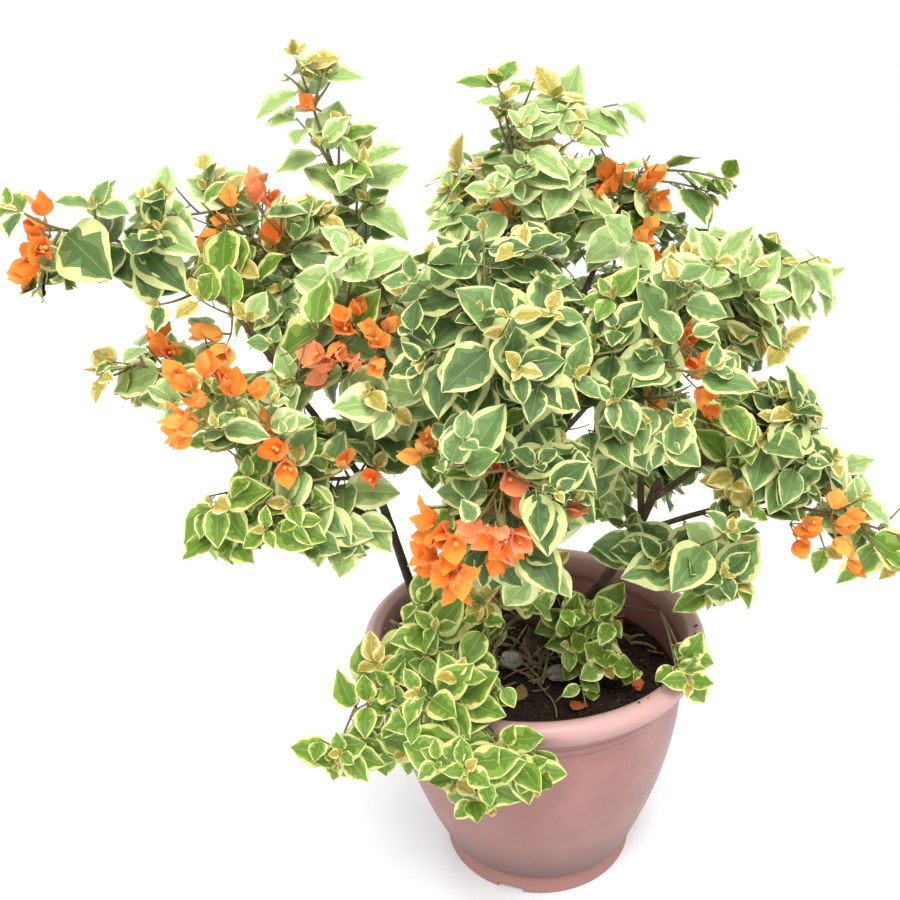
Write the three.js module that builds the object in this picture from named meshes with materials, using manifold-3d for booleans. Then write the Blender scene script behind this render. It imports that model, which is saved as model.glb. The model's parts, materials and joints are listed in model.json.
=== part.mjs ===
// Bougainvillea bush with variegated leaves and orange bracts, grown in a round moulded pot.
// Millimetres, +Z up. The origin is the centre of the pot's flat underside; the bush's front is -Y.
import * as THREE from 'three';
import { mergeVertices } from 'three/addons/utils/BufferGeometryUtils.js';
import Module from 'manifold-3d';

const wasm = await Module();
wasm.setup();

// Pot
const POT_HEIGHT = 250;
const RIM_RADIUS = 165;
const RIM_CREST = 156;
const RIM_BEAD = 4;
const LIP_BOTTOM = POT_HEIGHT - 25;
const LIP_TAPER = 7;
const RING_BOTTOM = LIP_BOTTOM - 21;
const RING_STEP = 2.5;
const SHOULDER_RADIUS = 144;
const BODY_FOOT_RADIUS = 98;
const BODY_SWELL = 1.8;
const FOOT_RADIUS = 95;
const FOOT_HEIGHT = 17;
const CREASE_DEPTH = 7;
const CREASE_HEIGHT = 6;
const BODY_BOTTOM = FOOT_HEIGHT + CREASE_HEIGHT;
const EDGE = 2;
const WALL = 4;
const FLOOR_TOP = 21;
const SOIL_CLEAR = 1.2;
const POT_FACETS = 26;
const DRAIN_COUNT = 3;
const DRAIN_WIDTH = 26;
const DRAIN_HEIGHT = 5;
const DRAIN_LENGTH = 41;
const DRAIN_TURN = THREE.MathUtils.degToRad(248);
const DRAIN_HOLE = { radius: 6, depth: 60, sides: 6, fromEdge: 25 };

// Soil and what lies on it
const SOIL_TOP = 195;
const GAP = 0.3;
const STONES = [
  { name: 'stone_left', at: [-20, 10], size: [32, 24, 17], turn: 0.4 },
  { name: 'stone_right', at: [24, -16], size: [36, 22, 15], turn: -0.5 },
];
const STONE_SUNK = 0.3;

// Growth rule. Leans and turns are in radians; shares are of a run's, a leaf's or a bloom's length.
const GOLDEN_ANGLE = Math.PI * (3 - Math.sqrt(5));
const UP = new THREE.Vector3(0, 0, 1);
const CROWN_HEART = new THREE.Vector3(0, 20, 400);
const LIMB = { sides: 5, steps: 3, trunkSteps: 10, footDepth: 6, flare: 7, flareShare: 0.12, taper: 0.7 };
const STEM = { radius: 1.9, steps: 4, rise: 0.06, leavesFrom: 0.3, balls: [0.25, 0.6, 0.95] };
const SHOOT = {
  first: 0.14, spread: 0.8, lean: 1.06, shortest: 0.78, varied: 0.4, shrink: 0.2, rise: 0.12, sag: 0.12,
  leavesFrom: 0.3, oneIn: 3, shares: [1, 0.75, 0.5],
};
const TWIG = { sides: 3, radius: 1.5, tip: 0.9, steps: 1 };
const LEAF = {
  pitch: 15.5, width: 0.74, broadest: 0.42, fold: 0.05, curl: 0.02, growth: 1.38, rootDepth: 0.45,
  largest: 1.06, shrink: 0.42, varied: 0.28, tipSize: 0.7,
  lean: 1.05, leanLoss: 0.35, tipLean: 0.25, droop: 0.5, tipRise: 0.1, turnAside: 0.55, heartPull: 1.2,
  tries: 6, tryTurn: 1.3, tryLean: 0.1,
};
const BLOOM = { radius: 20, perCluster: 4, stalk: 12, cup: 0.55, eye: 0.25, notch: 0.62 };
const MARGIN = { space: 0.8, limb: 0.6, blade: 0.9, rim: 3, wall: 15, above: 2, floor: 4 };

// Woody limbs. Each grows out of its parent at a fraction of its length, or out of the soil at a foot,
// and runs to its tip with its middle pushed aside by its bow.
const LIMBS = [
  { name: 'trunk', foot: [8, 34], tip: [24, 28, 585], bow: [6, -22, 0], radius: [13, 3.6] },
  { name: 'left_stem', foot: [-97, 14], tip: [-136, -66, 440], bow: [4, 4, 0], radius: [5.2, 3.6] },
  { name: 'right_stem', from: 'trunk', at: 0.05, tip: [122, 6, 392], bow: [26, 4, -26], radius: [7.5, 4] },
  { name: 'back_stem', from: 'trunk', at: 0.07, tip: [-14, 140, 455], bow: [-8, 26, -20], radius: [7, 3.8] },
  { name: 'front_stem', from: 'trunk', at: 0.09, tip: [-40, -98, 420],
    bow: [-14, -26, -20], radius: [6, 3.4] },
  { name: 'top_left_bough', from: 'trunk', at: 0.56, tip: [-128, 14, 574],
    bow: [10, 0, -16], radius: [4.2, 2.7] },
  { name: 'upper_left_bough', from: 'trunk', at: 0.47, tip: [-168, -8, 560],
    bow: [0, -10, -22], radius: [4.2, 2.7] },
  { name: 'far_left_bough', from: 'left_stem', at: 0.86, tip: [-232, -72, 592],
    bow: [-6, 0, 14], radius: [3.2, 2.4] },
  { name: 'left_middle_bough', from: 'far_left_bough', at: 0.3, tip: [-214, -58, 512],
    bow: [0, 6, -10], radius: [2.8, 2.2] },
  { name: 'left_flower_bough', from: 'left_stem', at: 0.8, tip: [-186, -116, 462],
    bow: [0, 0, -8], radius: [3, 2.3] },
  { name: 'centre_left_bough', from: 'trunk', at: 0.62, tip: [-76, -34, 500],
    bow: [6, 0, -12], radius: [3.8, 2.6] },
  { name: 'centre_bough', from: 'trunk', at: 0.7, tip: [-8, -66, 520], bow: [0, -6, -8], radius: [3.6, 2.6] },
  { name: 'centre_right_bough', from: 'trunk', at: 0.6, tip: [68, -40, 462],
    bow: [0, -6, -10], radius: [3.6, 2.6] },
  { name: 'top_right_bough', from: 'trunk', at: 0.82, tip: [78, 74, 592],
    bow: [4, 6, -14], radius: [3.6, 2.6] },
  { name: 'right_upper_bough', from: 'right_stem', at: 0.8, tip: [128, 34, 498],
    bow: [-14, 4, 4], radius: [3.6, 2.6] },
  { name: 'right_middle_bough', from: 'right_stem', at: 0.9, tip: [178, -6, 428],
    bow: [0, 0, -4], radius: [3.4, 2.5] },
  { name: 'far_right_bough', from: 'right_stem', at: 0.72, tip: [208, -34, 382],
    bow: [6, 0, 12], radius: [3, 2.3] },
  { name: 'lower_right_bough', from: 'right_stem', at: 0.55, tip: [112, -46, 350],
    bow: [0, -4, 14], radius: [3.2, 2.4] },
  { name: 'back_left_bough', from: 'back_stem', at: 0.7, tip: [-116, 136, 480],
    bow: [0, 6, -12], radius: [3.8, 2.6] },
  { name: 'back_right_bough', from: 'back_stem', at: 0.6, tip: [110, 138, 462],
    bow: [0, 6, -12], radius: [3.8, 2.6] },
  { name: 'back_low_bough', from: 'back_stem', at: 0.5, tip: [-62, 186, 372],
    bow: [0, 4, 8], radius: [3.4, 2.5] },
  { name: 'back_low_right_bough', from: 'back_stem', at: 0.4, tip: [92, 160, 336],
    bow: [0, 4, 10], radius: [3.4, 2.5] },
];

// Masses of foliage. Each grows from a limb (its tip unless at is given) to its own tip, with side shoots
// that reach as far as its girth.
const MASSES = [
  { name: 'top_left_shoot', from: 'top_left_bough', tip: [-176, 20, 775], girth: 34, shoots: 8, leaf: 42 },
  { name: 'upper_left_mass', from: 'upper_left_bough', tip: [-258, 0, 676], girth: 68, shoots: 12, leaf: 46 },
  { name: 'far_left_mass', from: 'far_left_bough', tip: [-362, -80, 660],
    girth: 52, shoots: 12, leaf: 46, arch: 34 },
  { name: 'left_middle_mass', from: 'left_middle_bough', tip: [-336, -62, 552],
    girth: 46, shoots: 9, leaf: 44 },
  { name: 'left_flower_mass', from: 'left_flower_bough', tip: [-244, -150, 530],
    girth: 46, shoots: 7, leaf: 40 },
  { name: 'lower_left_mass', from: 'left_stem', tip: [-262, -112, 452], girth: 64, shoots: 13, leaf: 46 },
  { name: 'centre_left_mass', from: 'centre_left_bough', tip: [-160, -84, 592],
    girth: 76, shoots: 12, leaf: 50 },
  { name: 'centre_mass', from: 'centre_bough', tip: [-46, -158, 596], girth: 80, shoots: 13, leaf: 52 },
  { name: 'centre_right_mass', from: 'centre_right_bough', tip: [82, -116, 556],
    girth: 74, shoots: 15, leaf: 50 },
  { name: 'top_centre_mass', from: 'trunk', tip: [-14, 50, 716], girth: 78, shoots: 13, leaf: 46 },
  { name: 'top_right_mass', from: 'top_right_bough', tip: [126, 96, 672], girth: 74, shoots: 13, leaf: 44 },
  { name: 'right_upper_mass', from: 'right_upper_bough', tip: [216, 36, 590],
    girth: 80, shoots: 14, leaf: 48 },
  { name: 'right_middle_mass', from: 'right_middle_bough', tip: [250, -8, 436],
    girth: 68, shoots: 13, leaf: 50 },
  { name: 'far_right_mass', from: 'far_right_bough', tip: [346, -50, 338], girth: 44, shoots: 7, leaf: 48 },
  { name: 'lower_right_mass', from: 'lower_right_bough', tip: [172, -64, 318],
    girth: 60, shoots: 12, leaf: 46 },
  { name: 'front_mass', from: 'front_stem', tip: [-30, -200, 500], girth: 66, shoots: 12, leaf: 50 },
  { name: 'low_left_mass', from: 'left_stem', at: 0.2, tip: [-184, -152, 216],
    girth: 54, shoots: 13, leaf: 42, arch: 70 },
  { name: 'low_front_mass', from: 'front_stem', at: 0.12, tip: [-84, -204, 226],
    girth: 74, shoots: 18, leaf: 44, arch: 110 },
  { name: 'low_middle_mass', from: 'front_stem', at: 0.24, tip: [-112, -112, 306],
    girth: 74, shoots: 18, leaf: 44 },
  { name: 'pot_sprout', from: 'right_stem', at: 0.14, tip: [66, -34, 262], girth: 44, shoots: 6, leaf: 32 },
  { name: 'rim_sprout', from: 'right_stem', at: 0.3, tip: [164, -58, 270], girth: 34, shoots: 5, leaf: 30 },
  { name: 'back_left_mass', from: 'back_left_bough', tip: [-226, 190, 566], girth: 88, shoots: 11, leaf: 54 },
  { name: 'back_mass', from: 'back_stem', tip: [8, 252, 612], girth: 92, shoots: 11, leaf: 54 },
  { name: 'back_right_mass', from: 'back_right_bough', tip: [236, 184, 548],
    girth: 88, shoots: 11, leaf: 54 },
  { name: 'back_low_mass', from: 'back_low_bough', tip: [-110, 268, 376], girth: 72, shoots: 9, leaf: 52 },
  { name: 'back_low_right_mass', from: 'back_low_right_bough', tip: [188, 214, 330],
    girth: 68, shoots: 9, leaf: 52 },
];

// Blossom groups: where each one opens, and how many clusters of bracts it has
const BLOSSOM = [
  { at: [-166, 12, 716], count: 1 },
  { at: [-248, -14, 634], count: 2 },
  { at: [-224, -12, 668], count: 2 },
  { at: [-206, -22, 628], count: 1 },
  { at: [-380, -98, 660], count: 2 },
  { at: [-372, -100, 622], count: 3 },
  { at: [-296, -72, 564], count: 2 },
  { at: [-252, -70, 566], count: 2 },
  { at: [-262, -152, 562], count: 3 },
  { at: [-228, -150, 556], count: 3 },
  { at: [-266, -154, 520], count: 4 },
  { at: [-196, -146, 494], count: 2 },
  { at: [-150, -116, 476], count: 1 },
  { at: [-142, -108, 578], count: 3 },
  { at: [-160, -106, 548], count: 4 },
  { at: [-118, -112, 566], count: 3 },
  { at: [-134, -106, 452], count: 1 },
  { at: [-90, -130, 490], count: 2 },
  { at: [-14, 8, 640], count: 1 },
  { at: [84, 60, 654], count: 3 },
  { at: [118, 66, 650], count: 2 },
  { at: [110, 30, 608], count: 2 },
  { at: [136, -24, 528], count: 2 },
  { at: [146, -28, 500], count: 2 },
  { at: [112, -34, 478], count: 2 },
  { at: [156, -40, 470], count: 1 },
  { at: [232, -62, 358], count: 2 },
  { at: [268, -66, 364], count: 3 },
  { at: [278, -70, 326], count: 1 },
  { at: [-36, -200, 462], count: 3 },
  { at: [-100, -176, 424], count: 3 },
  { at: [-92, -190, 400], count: 3 },
  { at: [-48, -196, 426], count: 4 },
  { at: [-24, -198, 420], count: 3 },
  { at: [34, -150, 428], count: 2 },
  { at: [-216, 226, 600], count: 3 },
  { at: [-268, 150, 560], count: 2 },
  { at: [40, 270, 590], count: 3 },
  { at: [-50, 274, 560], count: 2 },
  { at: [250, 200, 590], count: 3 },
  { at: [180, 240, 500], count: 2 },
  { at: [-96, 290, 420], count: 2 },
  { at: [150, 254, 360], count: 2 },
];

const finish = (color, roughness) => new THREE.MeshStandardMaterial({ color, roughness, metalness: 0 });
const MOULDED = finish('#c3968b', 0.45);
const EARTH = finish('#4a3526', 0.95);
const STONE = finish('#a9a7a0', 0.9);
const BARK = finish('#6a5340', 0.9);
const FOLIAGE = finish('#8aa05a', 0.7);
const vec = (list) => new THREE.Vector3(...list);

// A repeatable stream of numbers from 0 to 1
function seeded(seed) {
  let state = seed >>> 0;
  return () => {
    state = (state + 0x6d2b79f5) >>> 0;
    let mixed = state;
    mixed = Math.imul(mixed ^ (mixed >>> 15), mixed | 1);
    mixed ^= mixed + Math.imul(mixed ^ (mixed >>> 7), mixed | 61);
    return ((mixed ^ (mixed >>> 14)) >>> 0) / 4294967296;
  };
}

function solidOf(geometry) {
  const bare = geometry.index ? geometry.toNonIndexed() : geometry.clone();
  bare.deleteAttribute('normal');
  bare.deleteAttribute('uv');
  const merged = mergeVertices(bare, 1e-4);
  return new wasm.Manifold(new wasm.Mesh({
    numProp: 3,
    vertProperties: new Float32Array(merged.attributes.position.array),
    triVerts: new Uint32Array(merged.index.array),
  }));
}

// The largest body of a solid, without the scraps that a cut leaves
function mainBody(solid) {
  const bodies = solid.decompose();
  return bodies.reduce((best, body) => (body.volume() > best.volume() ? body : best));
}

function meshOf(name, solid, material) {
  const { vertProperties, triVerts } = solid.getMesh();
  const geometry = new THREE.BufferGeometry();
  geometry.setAttribute('position', new THREE.BufferAttribute(vertProperties, 3));
  geometry.setIndex(new THREE.BufferAttribute(triVerts, 1));
  geometry.computeVertexNormals();
  const mesh = new THREE.Mesh(geometry, material);
  mesh.name = name;
  return mesh;
}

// A run of straight pieces between points. Across is level and square to the way from its start to its end.
class Run extends THREE.Curve {
  constructor(points) {
    super();
    this.points = points;
    const chord = points[points.length - 1].clone().sub(points[0]);
    this.across = chord.cross(UP).length() > 1 ? chord.normalize() : new THREE.Vector3(1, 0, 0);
  }

  getPoint(fraction) {
    const pieces = this.points.length - 1;
    const place = THREE.MathUtils.clamp(fraction, 0, 1) * pieces;
    const piece = Math.min(Math.floor(place), pieces - 1);
    return this.points[piece].clone().lerp(this.points[piece + 1], place - piece);
  }
}

// A run from start to end whose middle is pushed aside by a bow
function bowed(start, end, bow, steps) {
  const middle = start.clone().lerp(end, 0.5).add(bow);
  const curve = new THREE.QuadraticBezierCurve3(start, middle, end);
  return new Run(curve.getPoints(steps));
}

// Where a run passes at a fraction of its length, with two directions square to it
function frameAt(run, fraction) {
  const along = run.getTangent(fraction);
  const side = run.across.clone().addScaledVector(along, -run.across.dot(along)).normalize();
  const over = new THREE.Vector3().crossVectors(side, along);
  return { point: run.getPoint(fraction), along, side, over };
}

// A direction that stands away from a run by a lean, at a turn round it
function leaning({ along, side, over }, turn, lean) {
  const radial = side.clone().multiplyScalar(Math.cos(turn)).addScaledVector(over, Math.sin(turn));
  return along.clone().multiplyScalar(Math.cos(lean)).addScaledVector(radial, Math.sin(lean));
}

// A tapering limb: a prism whose rings are carried along a run. Spare makes it thicker and longer.
function limbSolid(run, radii, sides, spare = 0) {
  const section = new THREE.Shape(Array.from({ length: sides }, (_, i) => (
    new THREE.Vector2(Math.sin((i * Math.PI * 2) / sides), -Math.cos((i * Math.PI * 2) / sides)))));
  const steps = run.points.length - 1;
  const geometry = new THREE.ExtrudeGeometry(section, { depth: 1, steps, bevelEnabled: false });
  const position = geometry.attributes.position;
  const thicker = spare / Math.cos(Math.PI / sides);
  for (let i = 0; i < position.count; i += 1) {
    const fraction = position.getZ(i);
    const { point, along, side, over } = frameAt(run, fraction);
    const radius = radii(fraction) + thicker;
    point.addScaledVector(side, position.getX(i) * radius);
    point.addScaledVector(over, -position.getY(i) * radius);
    point.addScaledVector(along, fraction > 0.999 ? spare : 0);
    position.setXYZ(i, point.x, point.y, point.z);
  }
  return solidOf(geometry);
}

const tapered = (base, tip) => (fraction) => THREE.MathUtils.lerp(base, tip, fraction);

// Thick at the base, with a flare where the trunk leaves the soil
function limbRadii([base, tip], flare) {
  return (fraction) => THREE.MathUtils.lerp(base, tip, fraction ** LIMB.taper)
    + flare * Math.max(0, 1 - fraction / LIMB.flareShare) ** 2;
}

function growLimbs() {
  const limbs = new Map();
  for (const row of LIMBS) {
    const parent = limbs.get(row.from);
    const start = parent
      ? parent.run.getPoint(row.at)
      : new THREE.Vector3(row.foot[0], row.foot[1], SOIL_TOP - LIMB.footDepth);
    const isTrunk = row.name === 'trunk';
    const run = bowed(start, vec(row.tip), vec(row.bow), isTrunk ? LIMB.trunkSteps : LIMB.steps);
    limbs.set(row.name, { ...row, run, radii: limbRadii(row.radius, isTrunk ? LIMB.flare : 0) });
  }
  return limbs;
}

// The straight pieces of a run, for leaves and twigs to keep off
function piecesOf(owner, run, radii) {
  const pieces = run.points.length - 1;
  return run.points.slice(1).map((end, i) => ({
    owner,
    a: run.points[i],
    b: end,
    radius: Math.max(radii(i / pieces), radii((i + 1) / pieces)),
  }));
}

function gapOfPieces(a, b, c, d) {
  const ab = b.clone().sub(a);
  const cd = d.clone().sub(c);
  const ca = a.clone().sub(c);
  const clamp = (value) => THREE.MathUtils.clamp(value, 0, 1);
  const square = ab.lengthSq() * cd.lengthSq() - ab.dot(cd) ** 2;
  let s = square > 1e-9 ? clamp((ab.dot(cd) * cd.dot(ca) - cd.lengthSq() * ab.dot(ca)) / square) : 0;
  const t = clamp((ab.dot(cd) * s + cd.dot(ca)) / cd.lengthSq());
  s = clamp((ab.dot(cd) * t - ab.dot(ca)) / ab.lengthSq());
  return a.clone().addScaledVector(ab, s).distanceTo(c.clone().addScaledVector(cd, t));
}

function gapToTriangle(triangle, a, b) {
  const hit = new THREE.Vector3();
  const ray = new THREE.Ray(a, b.clone().sub(a).normalize());
  if (ray.intersectTriangle(triangle.a, triangle.b, triangle.c, false, hit)
    && hit.distanceTo(a) <= a.distanceTo(b)) return 0;
  return Math.min(
    triangle.closestPointToPoint(a, hit).distanceTo(a),
    triangle.closestPointToPoint(b, hit).distanceTo(b),
    gapOfPieces(triangle.a, triangle.b, a, b),
    gapOfPieces(triangle.b, triangle.c, a, b),
    gapOfPieces(triangle.c, triangle.a, a, b),
  );
}

// A leaf is a thin solid of four corners: root and tip on the midrib, and two sides folded down from it
function leafShape({ point, along, face, length }) {
  const side = new THREE.Vector3().crossVectors(along, face);
  const root = point.clone().addScaledVector(along, -LEAF.rootDepth);
  const place = (forward, across, lift) => root.clone()
    .addScaledVector(along, forward * length)
    .addScaledVector(side, across * length)
    .addScaledVector(face, lift * length);
  const tip = place(1, 0, -LEAF.curl);
  const left = place(LEAF.broadest, -LEAF.width / 2, -LEAF.fold);
  const right = place(LEAF.broadest, LEAF.width / 2, -LEAF.fold);
  const corners = { '1,1,1': root, '-1,-1,1': tip, '-1,1,-1': right, '1,-1,-1': left };
  return {
    geometry: cornered(new THREE.TetrahedronGeometry(1, 0), corners),
    rim: [root, left, tip, right],
    heart: place(LEAF.broadest, 0, -LEAF.fold / 2),
  };
}

// A bloom of three bracts: a ball of twelve faces opened into a cup with three points
function bloomShape({ point, along, face, length }) {
  const side = new THREE.Vector3().crossVectors(along, face);
  const root = point.clone().addScaledVector(along, -LEAF.rootDepth);
  const corners = { '0,1,0': root.clone().addScaledVector(along, BLOOM.eye * length), '0,-1,0': root };
  const rim = [0, 1, 2, 3, 4, 5].map((i) => {
    const turn = (i * Math.PI) / 3;
    const radius = length * (i % 2 === 0 ? 1 : BLOOM.notch);
    const corner = root.clone().addScaledVector(along, BLOOM.cup * radius)
      .addScaledVector(side, Math.cos(turn) * radius).addScaledVector(face, Math.sin(turn) * radius);
    corners[signsOf(Math.cos(turn), 0, Math.sin(turn))] = corner;
    return corner;
  });
  return { geometry: cornered(new THREE.SphereGeometry(1, 6, 2), corners), rim, heart: root };
}

// A corner of a simple body is known by the signs of its place
const signsOf = (...place) => place.map((value) => Math.sign(Math.round(value * 4))).join();

// Move the corners of a simple body to the places given for them
function cornered(geometry, corners) {
  const position = geometry.attributes.position;
  for (let i = 0; i < position.count; i += 1) {
    const { x, y, z } = corners[signsOf(position.getX(i), position.getY(i), position.getZ(i))];
    position.setXYZ(i, x, y, z);
  }
  return geometry;
}

// The thin faces of a shape, from its heart out to its rim
const fanOf = ({ rim, heart }) => rim.map((corner, i) => (
  new THREE.Triangle(heart, corner, rim[(i + 1) % rim.length])));

const power = (ball, point) => ball.centre.distanceToSquared(point) - ball.radius ** 2;

// The space of a mass is round three balls along its stem: a point is in the space of the nearest ball
function spaceOf({ name, girth, leaf, stem }) {
  return STEM.balls.map((fraction) => ({
    owner: name,
    centre: stem.getPoint(fraction),
    radius: girth + leaf / 2,
  }));
}

// The mass whose space holds a place
const homeOf = (place, balls) => (
  balls.reduce((best, ball) => (power(ball, place) < power(best, place) ? ball : best)).owner);

function inOwnSpace(owner, point, balls) {
  const own = balls.filter((ball) => ball.owner === owner);
  const home = own.reduce((best, ball) => (power(ball, point) < power(best, point) ? ball : best));
  return balls.every((ball) => ball.owner === owner
    || power(ball, point) - power(home, point) > 2 * MARGIN.space * ball.centre.distanceTo(home.centre));
}

// The pot stands in the way as well: everything keeps clear of its wall, its rim and the soil
const clearOfPot = (point) => {
  const radius = Math.hypot(point.x, point.y);
  const overPot = point.z > POT_HEIGHT + MARGIN.above;
  const outside = radius > RIM_RADIUS + MARGIN.rim;
  const inside = radius < RIM_CREST - MARGIN.wall && point.z > SOIL_TOP + MARGIN.above;
  return overPot || outside || inside;
};

// Leaf nodes stand round a twig at the golden angle, large at its base and young at its tip
function nodesAlong(run, length, first, mature, random) {
  const count = Math.max(1, Math.floor((length * (1 - first)) / LEAF.pitch));
  const phase = random() * Math.PI * 2;
  return Array.from({ length: count + 1 }, (_, node) => {
    const fraction = THREE.MathUtils.lerp(first, 1, (node / count) * 0.98);
    const wobble = [random() - 0.5, random() - 0.5, random() - 0.5];
    const size = mature * (LEAF.largest - LEAF.shrink * fraction ** 2)
      * (1 + LEAF.varied * (random() - 0.5));
    const last = node === count;
    return {
      run, fraction, wobble, last,
      turn: phase + node * GOLDEN_ANGLE,
      length: last ? size * LEAF.tipSize : size,
    };
  });
}

// A leaf at its node leans out of the twig, turns off the crown's outward line, droops, and faces outward
function leafAt({ run, fraction, wobble, last, turn, length }, centre, attempt) {
  const frame = frameAt(run, fraction);
  const outward = frame.point.clone().sub(centre).normalize()
    .addScaledVector(frame.point.clone().sub(CROWN_HEART).normalize(), LEAF.heartPull).normalize();
  const lean = (last ? LEAF.tipLean : LEAF.lean - LEAF.leanLoss * fraction) + LEAF.tryLean * attempt;
  const along = leaning(frame, turn + attempt * LEAF.tryTurn, lean);
  along.addScaledVector(outward, -LEAF.turnAside * along.dot(outward))
    .addScaledVector(UP, last ? LEAF.tipRise : -LEAF.droop).normalize();
  const face = vec(wobble).multiplyScalar(0.7).addScaledVector(UP, 0.75).addScaledVector(outward, 0.8);
  face.addScaledVector(along, -face.dot(along)).normalize();
  return { point: frame.point, along, face, length: length * LEAF.growth };
}

// A blossom group: a twig from the nearest part of the stem towards the group's place
function growBlossom({ at, count, seed }, stem) {
  const place = vec(at);
  const fractions = Array.from({ length: 18 }, (_, i) => 0.2 + i * 0.04);
  const nearest = fractions.reduce((best, fraction) => (
    stem.getPoint(fraction).distanceTo(place) < stem.getPoint(best).distanceTo(place) ? fraction : best));
  const start = stem.getPoint(nearest);
  const away = place.clone().sub(start).normalize();
  const hub = place.clone().addScaledVector(away, -BLOOM.stalk);
  return { run: new Run([start, hub]), away, count, roll: seeded(seed)() * Math.PI * 2 };
}

// One open bloom stands for a group and is broader the more blooms the group has
function groupBloom({ run, away, count, roll }, attempt) {
  const frame = frameAt(run, 1);
  const aim = leaning(frame, roll + attempt * LEAF.tryTurn, LEAF.tipLean * attempt)
    .add(away).addScaledVector(UP, 0.4).normalize();
  const face = leaning({ ...frame, along: aim }, roll, Math.PI / 2);
  face.addScaledVector(aim, -face.dot(aim)).normalize();
  const length = BLOOM.radius + BLOOM.perCluster * count;
  return bloomShape({ point: frame.point, along: aim, face, length });
}

// Everything that a mass could grow, before what has no room is shortened or skipped
function growMass(row, index, limbs) {
  const seed = 7001 + index * 97;
  const random = seeded(seed);
  const start = limbs.get(row.from).run.getPoint(row.at ?? 1);
  const end = vec(row.tip);
  const reach = start.distanceTo(end);
  const stem = bowed(start, end, new THREE.Vector3(0, 0, row.arch ?? reach * STEM.rise), STEM.steps);
  const centre = start.clone().lerp(end, 0.55).addScaledVector(UP, -row.girth * 0.3);
  const firstTurn = random() * Math.PI * 2;
  const shoots = Array.from({ length: row.shoots }, (_, i) => {
    const fraction = SHOOT.first + SHOOT.spread * ((i + 0.5 * random()) / row.shoots);
    return {
      fraction,
      turn: firstTurn + i * GOLDEN_ANGLE,
      length: row.girth * (SHOOT.shortest + SHOOT.varied * random()) * (1 - SHOOT.shrink * fraction),
      lift: SHOOT.rise * random(),
      seed: seed * 31 + i,
    };
  });
  const nodes = nodesAlong(stem, reach, STEM.leavesFrom, row.leaf, seeded(seed * 31 + 29));
  return { ...row, stem, centre, shoots, nodes };
}

// A side shoot leaves the stem at its turn and sags before it rises to the light
function shootRun(stem, { fraction, turn, lift }, length) {
  const frame = frameAt(stem, fraction);
  const direction = leaning(frame, turn, SHOOT.lean);
  const tip = frame.point.clone().addScaledVector(direction, length).addScaledVector(UP, lift * length);
  return bowed(frame.point, tip, UP.clone().multiplyScalar(-SHOOT.sag * length), TWIG.steps);
}

const stemRadii = tapered(STEM.radius, TWIG.tip);
const twigRadii = tapered(TWIG.radius, TWIG.tip);

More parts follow.
